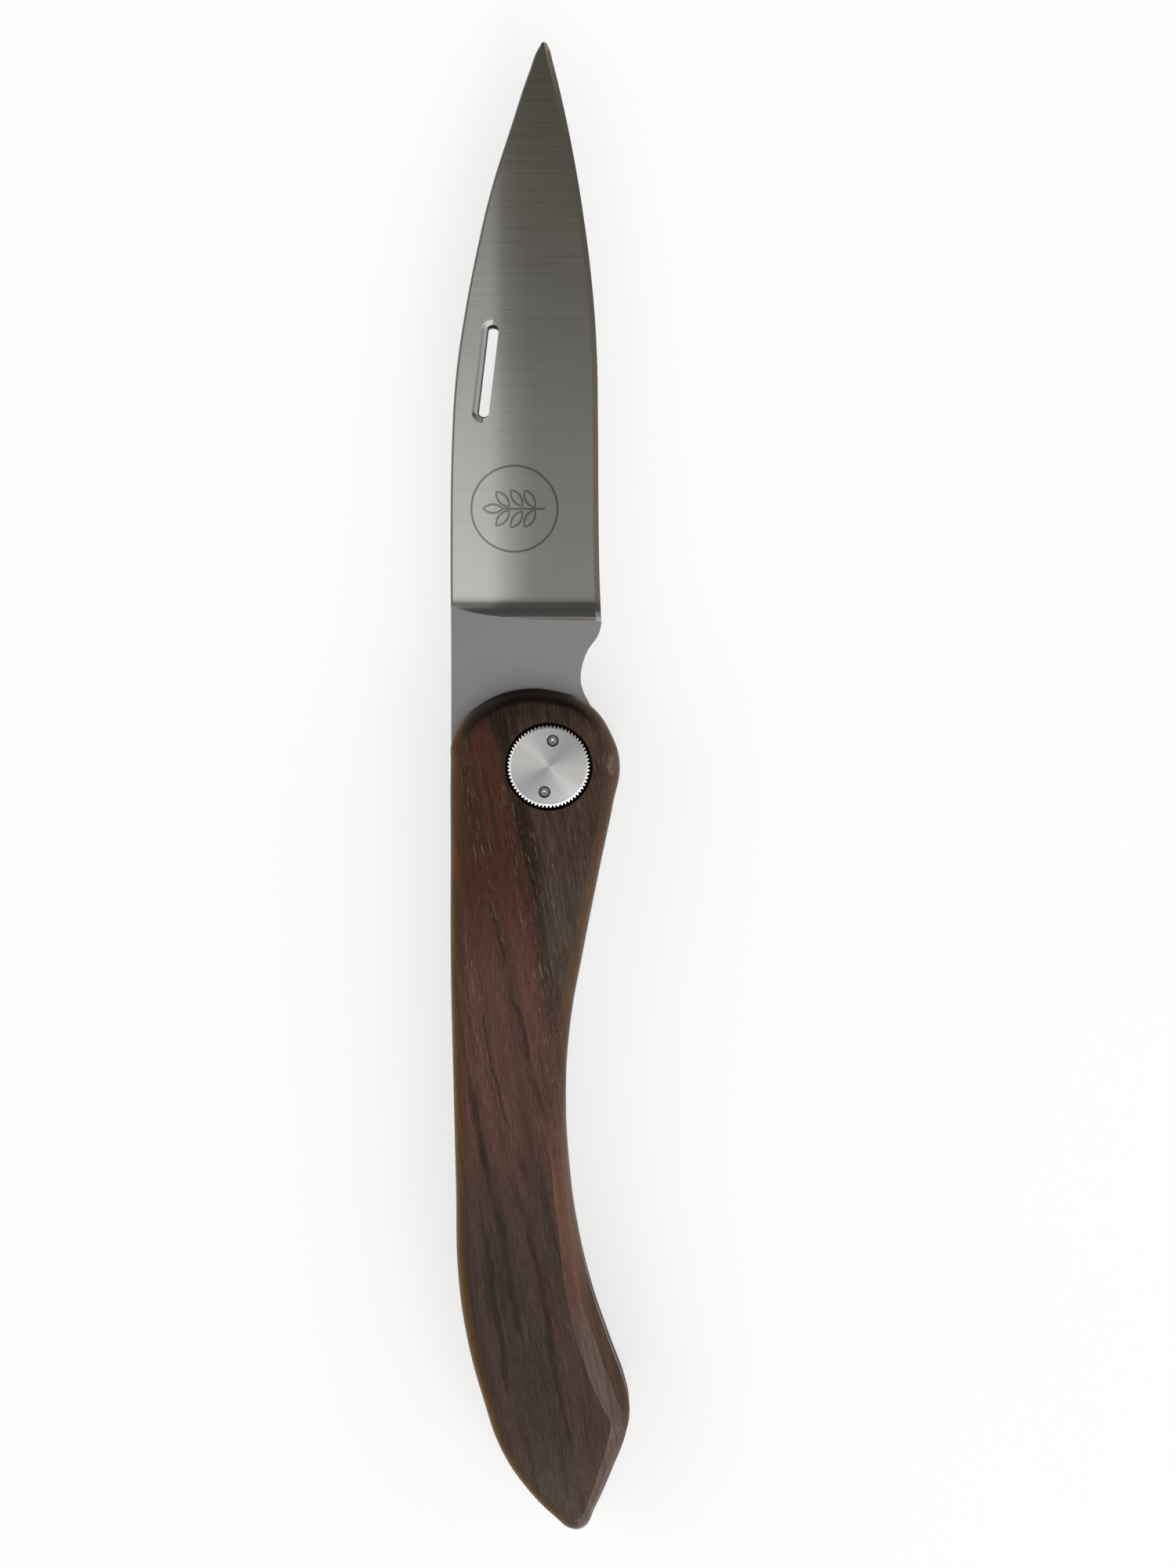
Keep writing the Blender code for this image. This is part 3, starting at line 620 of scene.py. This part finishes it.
def leaf_outline(g, x, y):
    """The outline of a pointed leaf about the middle, made of two parabolas."""
    half = g.math("MULTIPLY_ADD", g.math("POWER", y, 2.0), LEAF_WIDTH / LEAF_LENGTH**2, -LEAF_WIDTH)
    line = drawn_line(g, g.math("ADD", g.math("ABSOLUTE", x), half))
    inside = g.step(g.math("ABSOLUTE", y), LEAF_LENGTH, LEAF_LENGTH + 0.1, 1.0, 0.0)
    return g.math("MULTIPLY", line, inside)


def etched_mark(g):
    """High on the lines of a sprig in a ring, as if etched into the front of the blade."""
    down, x, z = g.split(g.vector("SUBTRACT", g.place_mm(), MARK_MIDDLE))
    y = g.math("MULTIPLY", down, -1.0)
    reach = g.math("SQRT", g.math("ADD", g.math("POWER", x, 2.0), g.math("POWER", y, 2.0)))
    drawn = drawn_line(g, g.math("SUBTRACT", reach, MARK_RADIUS))
    from_middle = g.math("ABSOLUTE", g.math("SUBTRACT", y, STEM_MIDDLE))
    stem = g.step(from_middle, STEM_HALF, STEM_HALF + 0.2, 1.0, 0.0)
    drawn = g.math("MAXIMUM", drawn, g.math("MULTIPLY", drawn_line(g, x), stem))
    for leaf_x, leaf_y, degrees in LEAVES:
        cos, sin = math.cos(math.radians(degrees)), math.sin(math.radians(degrees))
        dx, dy = g.math("SUBTRACT", x, leaf_x), g.math("SUBTRACT", y, leaf_y)
        across = g.math("MULTIPLY_ADD", dx, cos, g.math("MULTIPLY", dy, sin))
        along = g.math("MULTIPLY_ADD", dx, -sin, g.math("MULTIPLY", dy, cos))
        drawn = g.math("MAXIMUM", drawn, leaf_outline(g, across, along))
    drawn = g.math("MULTIPLY", drawn, g.step(z, 0.0, 0.1))
    return g.math("MULTIPLY", drawn, MARK_SHARE)


def shade_colour(material, amount, shade):
    """Mixes this shade into a finished material's colour. amount makes its share in the graph."""
    g = Graph(material)
    socket = g.tree.nodes["Principled BSDF"].inputs["Base Color"]
    g.put(socket, g.mix(amount(g), socket.links[0].from_socket, shade))


def painted_well_shade(g):
    """Painted shade: high on the flat faces, which line the slot that the blade folds into, and on
    the edges round its mouth, which face the cutting edge."""
    across, _, up = g.split(g.normal())
    flat = g.step(g.math("ABSOLUTE", up), 0.4, 0.7, 0.0, 0.92)
    mouth = g.step(across, 0.3, 0.7, 0.0, 0.65)
    return g.math("MAXIMUM", flat, mouth)


def painted_cap_highlight(g):
    """A painted highlight, rising towards the butt side of a pivot cap."""
    return g.ramp(g.split(g.place_mm())[1], -5.4, -1.0, 0.7, 0.0)


WOOD = rosewood()
GROUND_STEEL = steel(
    "ground_steel",
    (0.62, 0.615, 0.6),
    roughness=0.1,
    lines=(0.05, 3.2, 0.05),
    line_depth=0.0002,
    anisotropy=1.0,
    along=(0.0, 1.0, 0.0),
    tone=0.16,
)
TANG_STEEL = steel("tang_steel", (0.445, 0.45, 0.46), 0.34, (0.8, 6.0, 0.8), 0.0004, tone=0.05)
# On the cutting bevel, and as painted shade on the plunge's steep wall.
BEVEL_AND_SHADE_STEEL = steel("bevel_and_shade_steel", (0.26, 0.225, 0.195), 0.3, (6.0, 6.0, 0.4), 0.0006)
SIDE_STEEL = steel("side_steel", (0.42, 0.42, 0.42), 0.34, (0.1, 5.0, 0.1), 0.001)
TURNED_STEEL = steel(
    "turned_steel", (0.72, 0.72, 0.71), 0.3, (9.0, 1.0, 1.0), anisotropy=0.9, along="radial"
)
EDGE_STEEL = steel("edge_steel", (0.13, 0.13, 0.125), 0.4, (0.1, 5.0, 0.1), 0.0006)
# Near black: painted shade on the window's walls, the holes' walls and the teeth's flanks in the
# bore.
PAINTED_SHADE_STEEL = steel("painted_shade_steel", (0.045, 0.043, 0.04), 0.5, (3.0, 3.0, 3.0), 0.0006)
# Grey: painted shade on the spanner holes' floors.
HOLE_FLOOR_SHADE_STEEL = steel("hole_floor_shade_steel", (0.3, 0.3, 0.3), 0.4, (3.0, 3.0, 3.0), 0.0006)
# Also a painted highlight on the spanner holes' drilled points.
KNURL_AND_GLINT_STEEL = steel("knurl_and_glint_steel", (0.74, 0.74, 0.73), 0.28, (3.0, 3.0, 3.0), 0.0006)
LINER_STEEL = steel(
    "liner_steel", (0.46, 0.458, 0.45), 0.34, (0.15, 4.0, 0.15), 0.001, tone=0.14
)
PIN_STEEL = steel("pin_steel", (0.6, 0.6, 0.6), 0.25, (3.0, 3.0, 3.0), 0.0005)
BRONZE = steel(
    "washer_bronze",
    (0.55, 0.33, 0.14),
    roughness=0.35,
    lines=(5.0, 1.0, 1.0),
    line_depth=0.0006,
    anisotropy=0.5,
    along="radial",
)
shade_colour(GROUND_STEEL, etched_mark, (0.05, 0.05, 0.05))
# A painted highlight: the turned cap faces are lighter towards the butt side.
shade_colour(TURNED_STEEL, painted_cap_highlight, (0.97, 0.97, 0.96))
# Painted shade on the liners, in the slot and round its mouth.
shade_colour(LINER_STEEL, painted_well_shade, (0.03, 0.028, 0.026))


# --- the handle ---------------------------------------------------------------------------


def two_facets(share):
    """How far in and up a rounding made of two filed facets has come, from 0 to 1."""
    if share < 0.5:
        return FACET_ACROSS * share * 2, FACET_UP * share * 2
    rest = share * 2 - 1
    return FACET_ACROSS + (1 - FACET_ACROSS) * rest, FACET_UP + (1 - FACET_UP) * rest


def scale_blank(name):
    """A front scale without holes, lofted from its outline to the flat face's own outline."""
    outer = sampled([knot[:2] for knot in HANDLE], HANDLE_STEPS)
    inner = sampled([knot[2:4] for knot in HANDLE], HANDLE_STEPS)
    flats = []
    for here, following in pairwise([*HANDLE, HANDLE[0]]):
        step = (following[4] - here[4]) / HANDLE_STEPS
        flats += [here[4] + step * k for k in range(HANDLE_STEPS)]
    rings = [[Vector((p.x, p.y, SCALE_IN)) for p in outer]]
    for level in range(ROUNDING_RINGS + 1):
        share = level / ROUNDING_RINGS
        turn = share * math.pi / 2
        ring = []
        for a, b, flat in zip(outer, inner, flats):
            facet_across, facet_up = two_facets(share)
            across = (1 - flat) * (1 - math.cos(turn)) + flat * facet_across
            up = (1 - flat) * math.sin(turn) + flat * facet_up
            place = a.lerp(b, across)
            place.z = SCALE_OUT - ROUNDING_DROP * (1 - up)
            ring.append(place)
        rings.append(ring)
    return lofted(name, rings)


def make_scales():
    bore = [
        (CAP_BORE_RADIUS, 0),
        (CAP_BORE_RADIUS, SCALE_OUT - 0.12 * MM),
        (CAP_BORE_RADIUS + 0.14 * MM, SCALE_OUT + 0.02 * MM),
    ]
    front = cut_mesh(scale_blank("front_scale"), [turned("bore", bore, segments=120)])
    rear = flipped(front)
    for name, mesh in (("front_scale", front), ("rear_scale", rear)):
        mesh.materials.append(WOOD)
        piece(f"{name}_wood", mesh, "handle", "rosewood", name, smooth_angle=15)


# --- the pivot caps -----------------------------------------------------------------------


CAP_FINISHES = (KNURL_AND_GLINT_STEEL, TURNED_STEEL, PAINTED_SHADE_STEEL, HOLE_FLOOR_SHADE_STEEL)


def knurled_cap(name, top):
    """A cap that bears on a liner: a knurled rim, a bevel and a turned face with two holes."""
    per_tooth = 6
    count = KNURL_TEETH * per_tooth
    low = SCALE_IN
    # Each level's height, its radius on the teeth's crests, and its share of the knurl's depth.
    levels = [
        (low, CAP_RADIUS - 0.1 * MM, 0.0),
        (low + 0.12 * MM, CAP_RADIUS, 1.0),
        (top - 0.3 * MM, CAP_RADIUS, 1.0),
        (top - 0.12 * MM, CAP_RADIUS - 0.08 * MM, 1.0),
        (top - 0.04 * MM, FACE_RADIUS + 0.14 * MM, 0.15),
        (top, FACE_RADIUS, 0.0),
    ]
    rings = []
    for height, reach, depth in levels:
        ring = []
        for k in range(count):
            angle = 2 * math.pi * k / count
            wave = 0.5 - 0.5 * math.cos(2 * math.pi * (k % per_tooth) / per_tooth)
            radius = reach - KNURL_DEPTH * depth * wave
            ring.append(Vector((radius * math.cos(angle), radius * math.sin(angle), height)))
        rings.append(ring)
    cuts = [rod("thread", THREAD_BORE_RADIUS, 0, top - 2 * MM)]
    for side in (1, -1):
        offset = side * SPANNER_OFFSET
        at = offset * Vector((math.sin(SPANNER_ANGLE), math.cos(SPANNER_ANGLE), 0))
        floor = top - SPANNER_DEPTH
        profile = [
            (0, floor - 0.14 * MM),
            (0.24 * MM, floor),
            (SPANNER_RADIUS - 0.14 * MM, floor),
            (SPANNER_RADIUS, top - 0.07 * MM),
            (SPANNER_RADIUS + 0.09 * MM, top + 0.02 * MM),
        ]
        cuts.append(turned("spanner_hole", profile, at))
    mesh = cut_mesh(lofted(name, rings), cuts)
    set_finishes(mesh, CAP_FINISHES, lambda face: cap_finish(face, top))
    return mesh


def cap_finish(face, top):
    """The finish of a cap's face: bright on the teeth's bevel, a painted highlight at a hole's
    drilled point, and painted shade on the holes' floors and walls and on the teeth's flanks.
    """
    height, up = face.center.z, face.normal.z
    if height > top - 0.02 * MM and up > 0.98:
        return TURNED_STEEL
    if face.center.xy.length < FACE_RADIUS - 0.5 * MM and height > 0.5 * SCALE_IN:
        # In a hole: painted shade on the floor and walls, a painted highlight on the drilled point.
        if up > 0.95:
            return HOLE_FLOOR_SHADE_STEEL
        return KNURL_AND_GLINT_STEEL if up > 0.75 else PAINTED_SHADE_STEEL
    # The teeth's flanks, down towards the bore, get painted shade.
    return PAINTED_SHADE_STEEL if height < top - 0.3 * MM else KNURL_AND_GLINT_STEEL


def make_caps():
    nut = knurled_cap("pivot_nut", NUT_TOP)
    piece("pivot_nut_turned", nut, "pivot_nut", "turned_steel", "pivot_nut", smooth_angle=32)
    head = flipped(knurled_cap("pivot_head", SCALE_OUT))
    piece("pivot_head_turned", head, "handle", "turned_steel", "pivot_head", smooth_angle=32)
    for mesh in (nut, head):
        for face in mesh.polygons:
            finish = CAP_FINISHES[face.material_index]
            face.use_smooth = finish not in (TURNED_STEEL, HOLE_FLOOR_SHADE_STEEL)


# --- the blade ----------------------------------------------------------------------------


BLADE_FINISHES = (GROUND_STEEL, TANG_STEEL, BEVEL_AND_SHADE_STEEL, SIDE_STEEL, PAINTED_SHADE_STEEL, EDGE_STEEL)


def blade_outline():
    """The outline's points, those of its cutting edge, and those of its spine, both upwards."""
    turn = [180 + math.degrees(math.asin(-SHOULDER_Y / TANG_RADIUS)), *range(205, 405, 25), 409]
    disc = [
        (TANG_RADIUS * math.cos(math.radians(a)), TANG_RADIUS * math.sin(math.radians(a)))
        for a in turn
    ]
    back = (SPINE[-1][0], SHOULDER_Y)
    knots = [back, *disc, *CHOIL, *CUTTING_EDGE, *TIP, *SPINE]
    points = sampled(knots, BLADE_STEPS, corners=(0, 1))
    start = BLADE_STEPS * (1 + len(disc) + len(CHOIL))
    end = start + BLADE_STEPS * len(CUTTING_EDGE)
    return points, points[start : end + 1], points[end + BLADE_STEPS :][::-1]


def ground_half(x, y):
    """Half the blade's thickness where the grinding wheel has passed, in metres."""
    share = max(0.0, (EDGE_X - x) / (EDGE_X - SPINE_X))
    half = HALF_AT_EDGE + (HALF_AT_SPINE - HALF_AT_EDGE) * share**2
    past = PLUNGE_Y - y
    run_out = min((past + math.hypot(past, PLUNGE_SOFTNESS)) / 2, PLUNGE_RADIUS)
    return half + PLUNGE_RADIUS - math.sqrt(PLUNGE_RADIUS**2 - run_out**2)


def x_at(side, y):
    """The X of a side of the blade at this height, from its points in order of their height."""
    if y <= side[0].y:
        return side[0].x
    for a, b in pairwise(side):
        if a.y <= y <= b.y:
            return a.x + (b.x - a.x) * (y - a.y) / (b.y - a.y)
    return side[-1].x


def grinding_cutter(edge, spine):
    """What the wheel takes off the front face, with the spine's corner rounded off."""
    columns = 48
    past = 0.4 * MM  # how far it reaches out beyond the edge
    plunge_rows = [20.2 * MM + k * 0.08 * MM for k in range(70)]
    rows = plunge_rows + [p.y for p in edge if p.y > plunge_rows[-1] + 0.3 * MM]
    rows.append(rows[-1] + 2 * MM)
    bm = bmesh.new()
    grid = []
    for y in rows:
        at_edge, at_spine = x_at(edge, y), x_at(spine, y)
        rounding = min(SPINE_ROUNDING, 0.2 * (at_edge - at_spine))
        bevel = min(EDGE_BEVEL, 0.4 * (at_edge - at_spine))
        start, end = at_spine + rounding, at_edge - bevel
        row = []
        for share in (-1.2, 0, 0.2, 0.4, 0.6, 0.8):
            x = at_spine + rounding * share
            drop = rounding * 0.5 * (1 - share) ** 1.6
            row.append(bm.verts.new((x, y, ground_half(x, y) - drop)))
        line = [start + (end - start) * k / columns for k in range(columns + 1)]
        row += [bm.verts.new((x, y, ground_half(x, y))) for x in line]
        inner = ground_half(line[-1], y)
        lift = ground_half(at_edge, y) - ground_half(at_edge, FULL_GRIND_Y)
        slope = (inner - HALF_AT_APEX - lift) / bevel
        outer = inner - slope * (bevel + past)
        row.append(bm.verts.new((at_edge + past, y, outer)))
        grid.append(row)
    for low, high in pairwise(grid):
        for k in range(len(low) - 1):
            bm.faces.new((low[k], low[k + 1], high[k + 1], high[k]))
    made = bmesh.ops.extrude_face_region(bm, geom=bm.faces[:])["geom"]
    for vert in (v for v in made if isinstance(v, bmesh.types.BMVert)):
        vert.co.z = CUTTER_TOP
    return mesh_from(bm, "grind")


def stadium(left, right, above, below):
    """A slot's outline about the window's middle line, reaching this far to its four sides."""
    along = (WINDOW_HIGH - WINDOW_LOW).normalized()
    across = Vector((along.y, -along.x, 0))
    arc_steps = 24
    points = []
    for end, start, reach in ((WINDOW_HIGH, 0, above), (WINDOW_LOW, math.pi, below)):
        for k in range(arc_steps + 1):
            turn = start + math.pi * k / arc_steps
            side = math.cos(turn)
            width = right if side > 0 else left
            points.append(end + across * (side * width) + along * (math.sin(turn) * reach))
    return points


def window():
    """The slot through the blade. Its walls lean in a little, below a soft lip."""
    wide = stadium(*[WINDOW_RADIUS] * 4)
    narrow = stadium(left=0.66 * MM, right=0.8 * MM, above=0.4 * MM, below=0.55 * MM)
    rings = []
    # Heights in mm above the blade's middle plane, from below it to above it.
    for outline, height in ((narrow, -3), (narrow, 0.1), (wide, 0.75), (wide, 3)):
        rings.append([Vector((p.x, p.y, height * MM)) for p in outline])
    return lofted("window", rings)


def nail_nick():
    """A recess beside the window, on the spine's side, that a nail can catch."""
    rings = []
    steps = 10
    for k in range(steps + 2):
        share = min(k / steps, 1)
        reach = NICK_FLOOR + NICK_WALL * share
        past_end = WINDOW_RADIUS + (0.9 * share - 0.2) * MM
        outline = stadium(reach, 0.2 * MM, past_end, past_end)
        drop = NICK_DEPTH * (1 - share**2 * (3 - 2 * share)) - (3 * MM if k > steps else 0)
        rings.append([Vector((p.x, p.y, ground_half(p.x, p.y) - drop)) for p in outline])
    return lofted("nick", rings)


def blade_finish(face, edge, spine):
    """The finish of a blade's face, from where it is and which way it faces."""
    at, up = face.center, abs(face.normal.z)
    # The steep walls beside the window get painted shade.
    beside_window = SPINE_X + 3 * MM < at.x < -6 * MM
    level_with_window = WINDOW_LOW.y - 1.5 * MM < at.y < WINDOW_HIGH.y + 1.5 * MM
    if beside_window and level_with_window and up < 0.8:
        return PAINTED_SHADE_STEEL
    if abs(at.z) > HALF_BLADE - 0.01 * MM:
        return TANG_STEEL
    if up < 0.3 or at.y < GROUND_FROM_Y:
        return SIDE_STEEL
    if at.x < x_at(spine, at.y) + SPINE_ROUNDING * 0.9:
        return EDGE_STEEL
    if at.x > x_at(edge, at.y) - EDGE_BEVEL and up < 0.995:
        return BEVEL_AND_SHADE_STEEL if at.y > HEEL_FLAT_Y else TANG_STEEL
    # Painted shade: the plunge's steep wall takes the darker bevel steel.
    return BEVEL_AND_SHADE_STEEL if at.y < PLUNGE_Y and up < STEEP_PLUNGE else GROUND_STEEL


def make_blade():
    points, edge, spine = blade_outline()
    grind = grinding_cutter(edge, spine)
    face = HALF_BLADE - TRACK_DEPTH
    half_track = TRACK_WIDTH / 2
    ring = cut_mesh(
        rod("track", TRACK_RADIUS + half_track, face, HALF_BLADE + 1.2 * MM, segments=96),
        [rod("core", TRACK_RADIUS - half_track, 0, HALF_BLADE + 2 * MM, segments=96)],
    )
    above = HALF_BLADE + 0.8 * MM
    pit = [(0, face - PIT_DEPTH), (PIT_RADIUS, face + 0.01 * MM), (PIT_RADIUS, above)]
    cuts = [
        rod("axle_hole", AXLE_HOLE_RADIUS, -9 * MM, 9 * MM, segments=96),
        ring,
        window(),
        nail_nick(),
    ]
    for angle in map(math.radians, TRACK_ANGLES):
        at = TRACK_RADIUS * Vector((math.cos(angle), math.sin(angle), 0))
        cuts.append(turned("pit", pit, at, segments=24))
    mesh = cut_mesh(plate("blade", points, -HALF_BLADE, HALF_BLADE), cuts)
    mesh = cut_mesh(mesh, [grind, flipped(grind)])
    set_finishes(mesh, BLADE_FINISHES, lambda face: blade_finish(face, edge, spine))
    piece("blade_ground", mesh, "blade", "blade_steel", "blade", smooth_angle=7)


# --- the frame's own pieces ---------------------------------------------------------------


def finish_nodes():
    """Gives each CAD piece that is shown its material and smooth shading."""
    for name, obj in NODES.items():
        if obj.hide_render:
            continue
        if "washer" in name:
            finish = BRONZE
        elif name in ("stop_pin", "detent_ball", "pivot_axle"):
            finish = PIN_STEEL
        else:
            finish = LINER_STEEL
        obj.data.materials.clear()
        obj.data.materials.append(finish)
        obj.data.shade_smooth()
        obj.data.set_sharp_from_angle(angle=math.radians(30))
        weld = obj.modifiers.new("weld", "WELD")
        weld.merge_threshold = 0.001 * MM


# --- the studio ---------------------------------------------------------------------------


SKY = 2.25
SKY_TURN = (0.966, 0.259)  # the cosine and sine of 15 degrees


# The sky is a function of dx, dy and dz, the direction that a ray leaves in.


def window_pane(g, dx, dy):
    """1 where a window shows. Its left edge lies further right, and is sharper, on the far side."""
    far = g.step(dy, 0.06, 0.11)
    shown = g.step(dx, g.between(0.077, 0.12, far), g.between(0.147, 0.133, far))
    return g.math("MULTIPLY", shown, g.step(dx, 0.26, 0.42, 1.0, 0.2))


def overhead_light(g, dy, pane):
    """The dark patch overhead. It darkens towards the far side, and the window brightens it."""
    light = g.ramp(dy, 0.03, 0.11, 0.39, 0.205)
    for low, high, lower in ((0.11, 0.13, -0.075), (0.13, 0.17, -0.075), (0.17, 0.195, -0.007)):
        light = g.math("ADD", light, g.ramp(dy, low, high, 0.0, lower))
    light = g.math("ADD", light, g.math("MULTIPLY", g.step(dy, 0.2, 0.34), 0.05))
    return g.math("MULTIPLY", light, g.math("MULTIPLY_ADD", pane, 1.6, 1.0))


def with_bright_sides(g, light, dx, dy):
    """Adds the bright left, right and near sides, which differ from corner to corner."""
    left = g.step(dx, -0.7, -0.3, 1.0, 0.0)
    right = g.step(dx, 0.55, 0.85)
    near = g.step(dy, -0.6, -0.25, 1.0, 0.0)
    sides = g.math("MAXIMUM", g.math("MAXIMUM", left, right), near)
    cos, sin = SKY_TURN
    across = g.math("MULTIPLY_ADD", dx, cos, g.math("MULTIPLY", dy, -sin))
    along = g.math("MULTIPLY_ADD", dx, sin, g.math("MULTIPLY", dy, cos))
    corner = g.step(g.math("MULTIPLY", across, along), -0.25, 0.25, SKY * 1.3, SKY * 0.6)
    return g.between(light, corner, sides)


def with_dark_side(g, light, dx, dy):
    """Adds the dark far side, with a glow beside the window."""
    turned_dy = g.math("SUBTRACT", dy, g.ramp(dx, 0.2, 1.0, 0.0, 0.4))
    far = g.math("MULTIPLY", g.step(turned_dy, 0.2, 0.6), g.step(dx, -1.0, -0.7, 0.6, 1.0))
    glow = g.math("MULTIPLY", g.step(dx, 0.13, 0.2), g.step(dx, 0.26, 0.42, 1.0, 0.0))
    return g.between(light, g.between(0.08, 0.38, glow), far)


def with_low_sky(g, light, dx, dy, dz):
    """Adds the pale low sky, and the horizon's rim. In the middle of the far side the pale part
    ends lower down."""
    aside = g.step(g.math("ABSOLUTE", dx), 0.3, 0.55)
    aside = g.math("MAXIMUM", aside, g.step(dy, 0.0, 0.3, 1.0, 0.0))
    aside = g.math("MAXIMUM", aside, g.step(dz, 0.18, 0.28, 1.0, 0.0))
    low = g.math("MULTIPLY", g.step(dz, 0.4, 0.62, 1.0, 0.0), aside)
    light = g.between(light, g.ramp(dz, 0.12, 0.5, 0.76, 1.0), low)
    return g.between(light, 1.05, g.step(dz, 0.02, 0.1, 1.0, 0.0))


def sky_tint(g, dy, dz, pane):
    """Warm overhead towards the far side, and olive there outside the window."""
    above = g.math("MULTIPLY", g.step(dz, 0.7, 0.85), g.step(dy, 0.2, 0.25, 1.0, 0.0))
    warm = g.math("MULTIPLY", g.step(dy, 0.05, 0.17), above)
    olive = g.math("MULTIPLY", g.step(dy, 0.1, 0.19), above)
    olive = g.math("MULTIPLY", olive, g.math("SUBTRACT", 1.0, pane))
    tint = g.mix(warm, (1.0, 1.0, 1.0), (1.04, 1.0, 0.88))
    return g.mix(olive, tint, (1.04, 0.84, 0.28))


def make_world():
    """A pale studio with a dark patch overhead, and a window's edge that the blade reflects."""
    world = bpy.data.worlds.new("studio")
    SCENE.world = world
    g = Graph(world)
    back = world.node_tree.nodes["Background"]
    dx, dy, dz = g.split(g.add("ShaderNodeTexCoord").outputs["Generated"])
    pane = window_pane(g, dx, dy)
    light = overhead_light(g, dy, pane)
    light = with_bright_sides(g, light, dx, dy)
    light = with_dark_side(g, light, dx, dy)
    light = with_low_sky(g, light, dx, dy, dz)
    g.put(back.inputs["Color"], g.vector("SCALE", sky_tint(g, dy, dz, pane), light))
    back.inputs["Strength"].default_value = 1.0


def area_light(name, place, target, size, power):
    lamp = bpy.data.lights.new(name, "AREA")
    lamp.shape, lamp.size, lamp.energy = "DISK", size, power
    obj = bpy.data.objects.new(name, lamp)
    SCENE.collection.objects.link(obj)
    obj.location = place
    obj.rotation_euler = (Vector(place) - Vector(target)).to_track_quat("Z", "Y").to_euler()


def make_floor():
    bm = bmesh.new()
    bmesh.ops.create_grid(bm, x_segments=1, y_segments=1, size=3)
    floor = bpy.data.objects.new("floor", mesh_from(bm, "floor"))
    SCENE.collection.objects.link(floor)
    made, g, shader = shader_of("floor_paint")
    cloud = g.noise(g.place_mm(), (0.01, 0.01, 0.01), detail=2)
    g.put(shader.inputs["Base Color"], g.mix(cloud, (0.36, 0.36, 0.36), (0.38, 0.38, 0.38)))
    shader.inputs["Emission Color"].default_value = (1.0, 1.0, 0.995, 1.0)
    shader.inputs["Emission Strength"].default_value = 0.62
    shader.inputs["Roughness"].default_value = 0.8
    shader.inputs["Specular IOR Level"].default_value = 0.1
    floor.data.materials.append(made)


CAMERA_OVER = Vector((5.6, -2.5, 0)) * MM
CAMERA_HEIGHT = 542 * MM


def make_camera():
    data = bpy.data.cameras.new("camera")
    data.lens, data.sensor_width, data.sensor_fit = 85, 36, "AUTO"
    data.clip_start, data.clip_end = 0.01, 20
    camera = bpy.data.objects.new("camera", data)
    camera.location = CAMERA_OVER + Vector((0, 0, CAMERA_HEIGHT))
    SCENE.collection.objects.link(camera)
    SCENE.camera = camera


make_camera()
make_scales()
make_caps()
make_blade()
finish_nodes()
make_floor()
make_world()
area_light("key", (0.5, -0.5, 0.75), (0, 0, 0), 0.35, 1.2)
SCENE.view_settings.view_transform = "Standard"
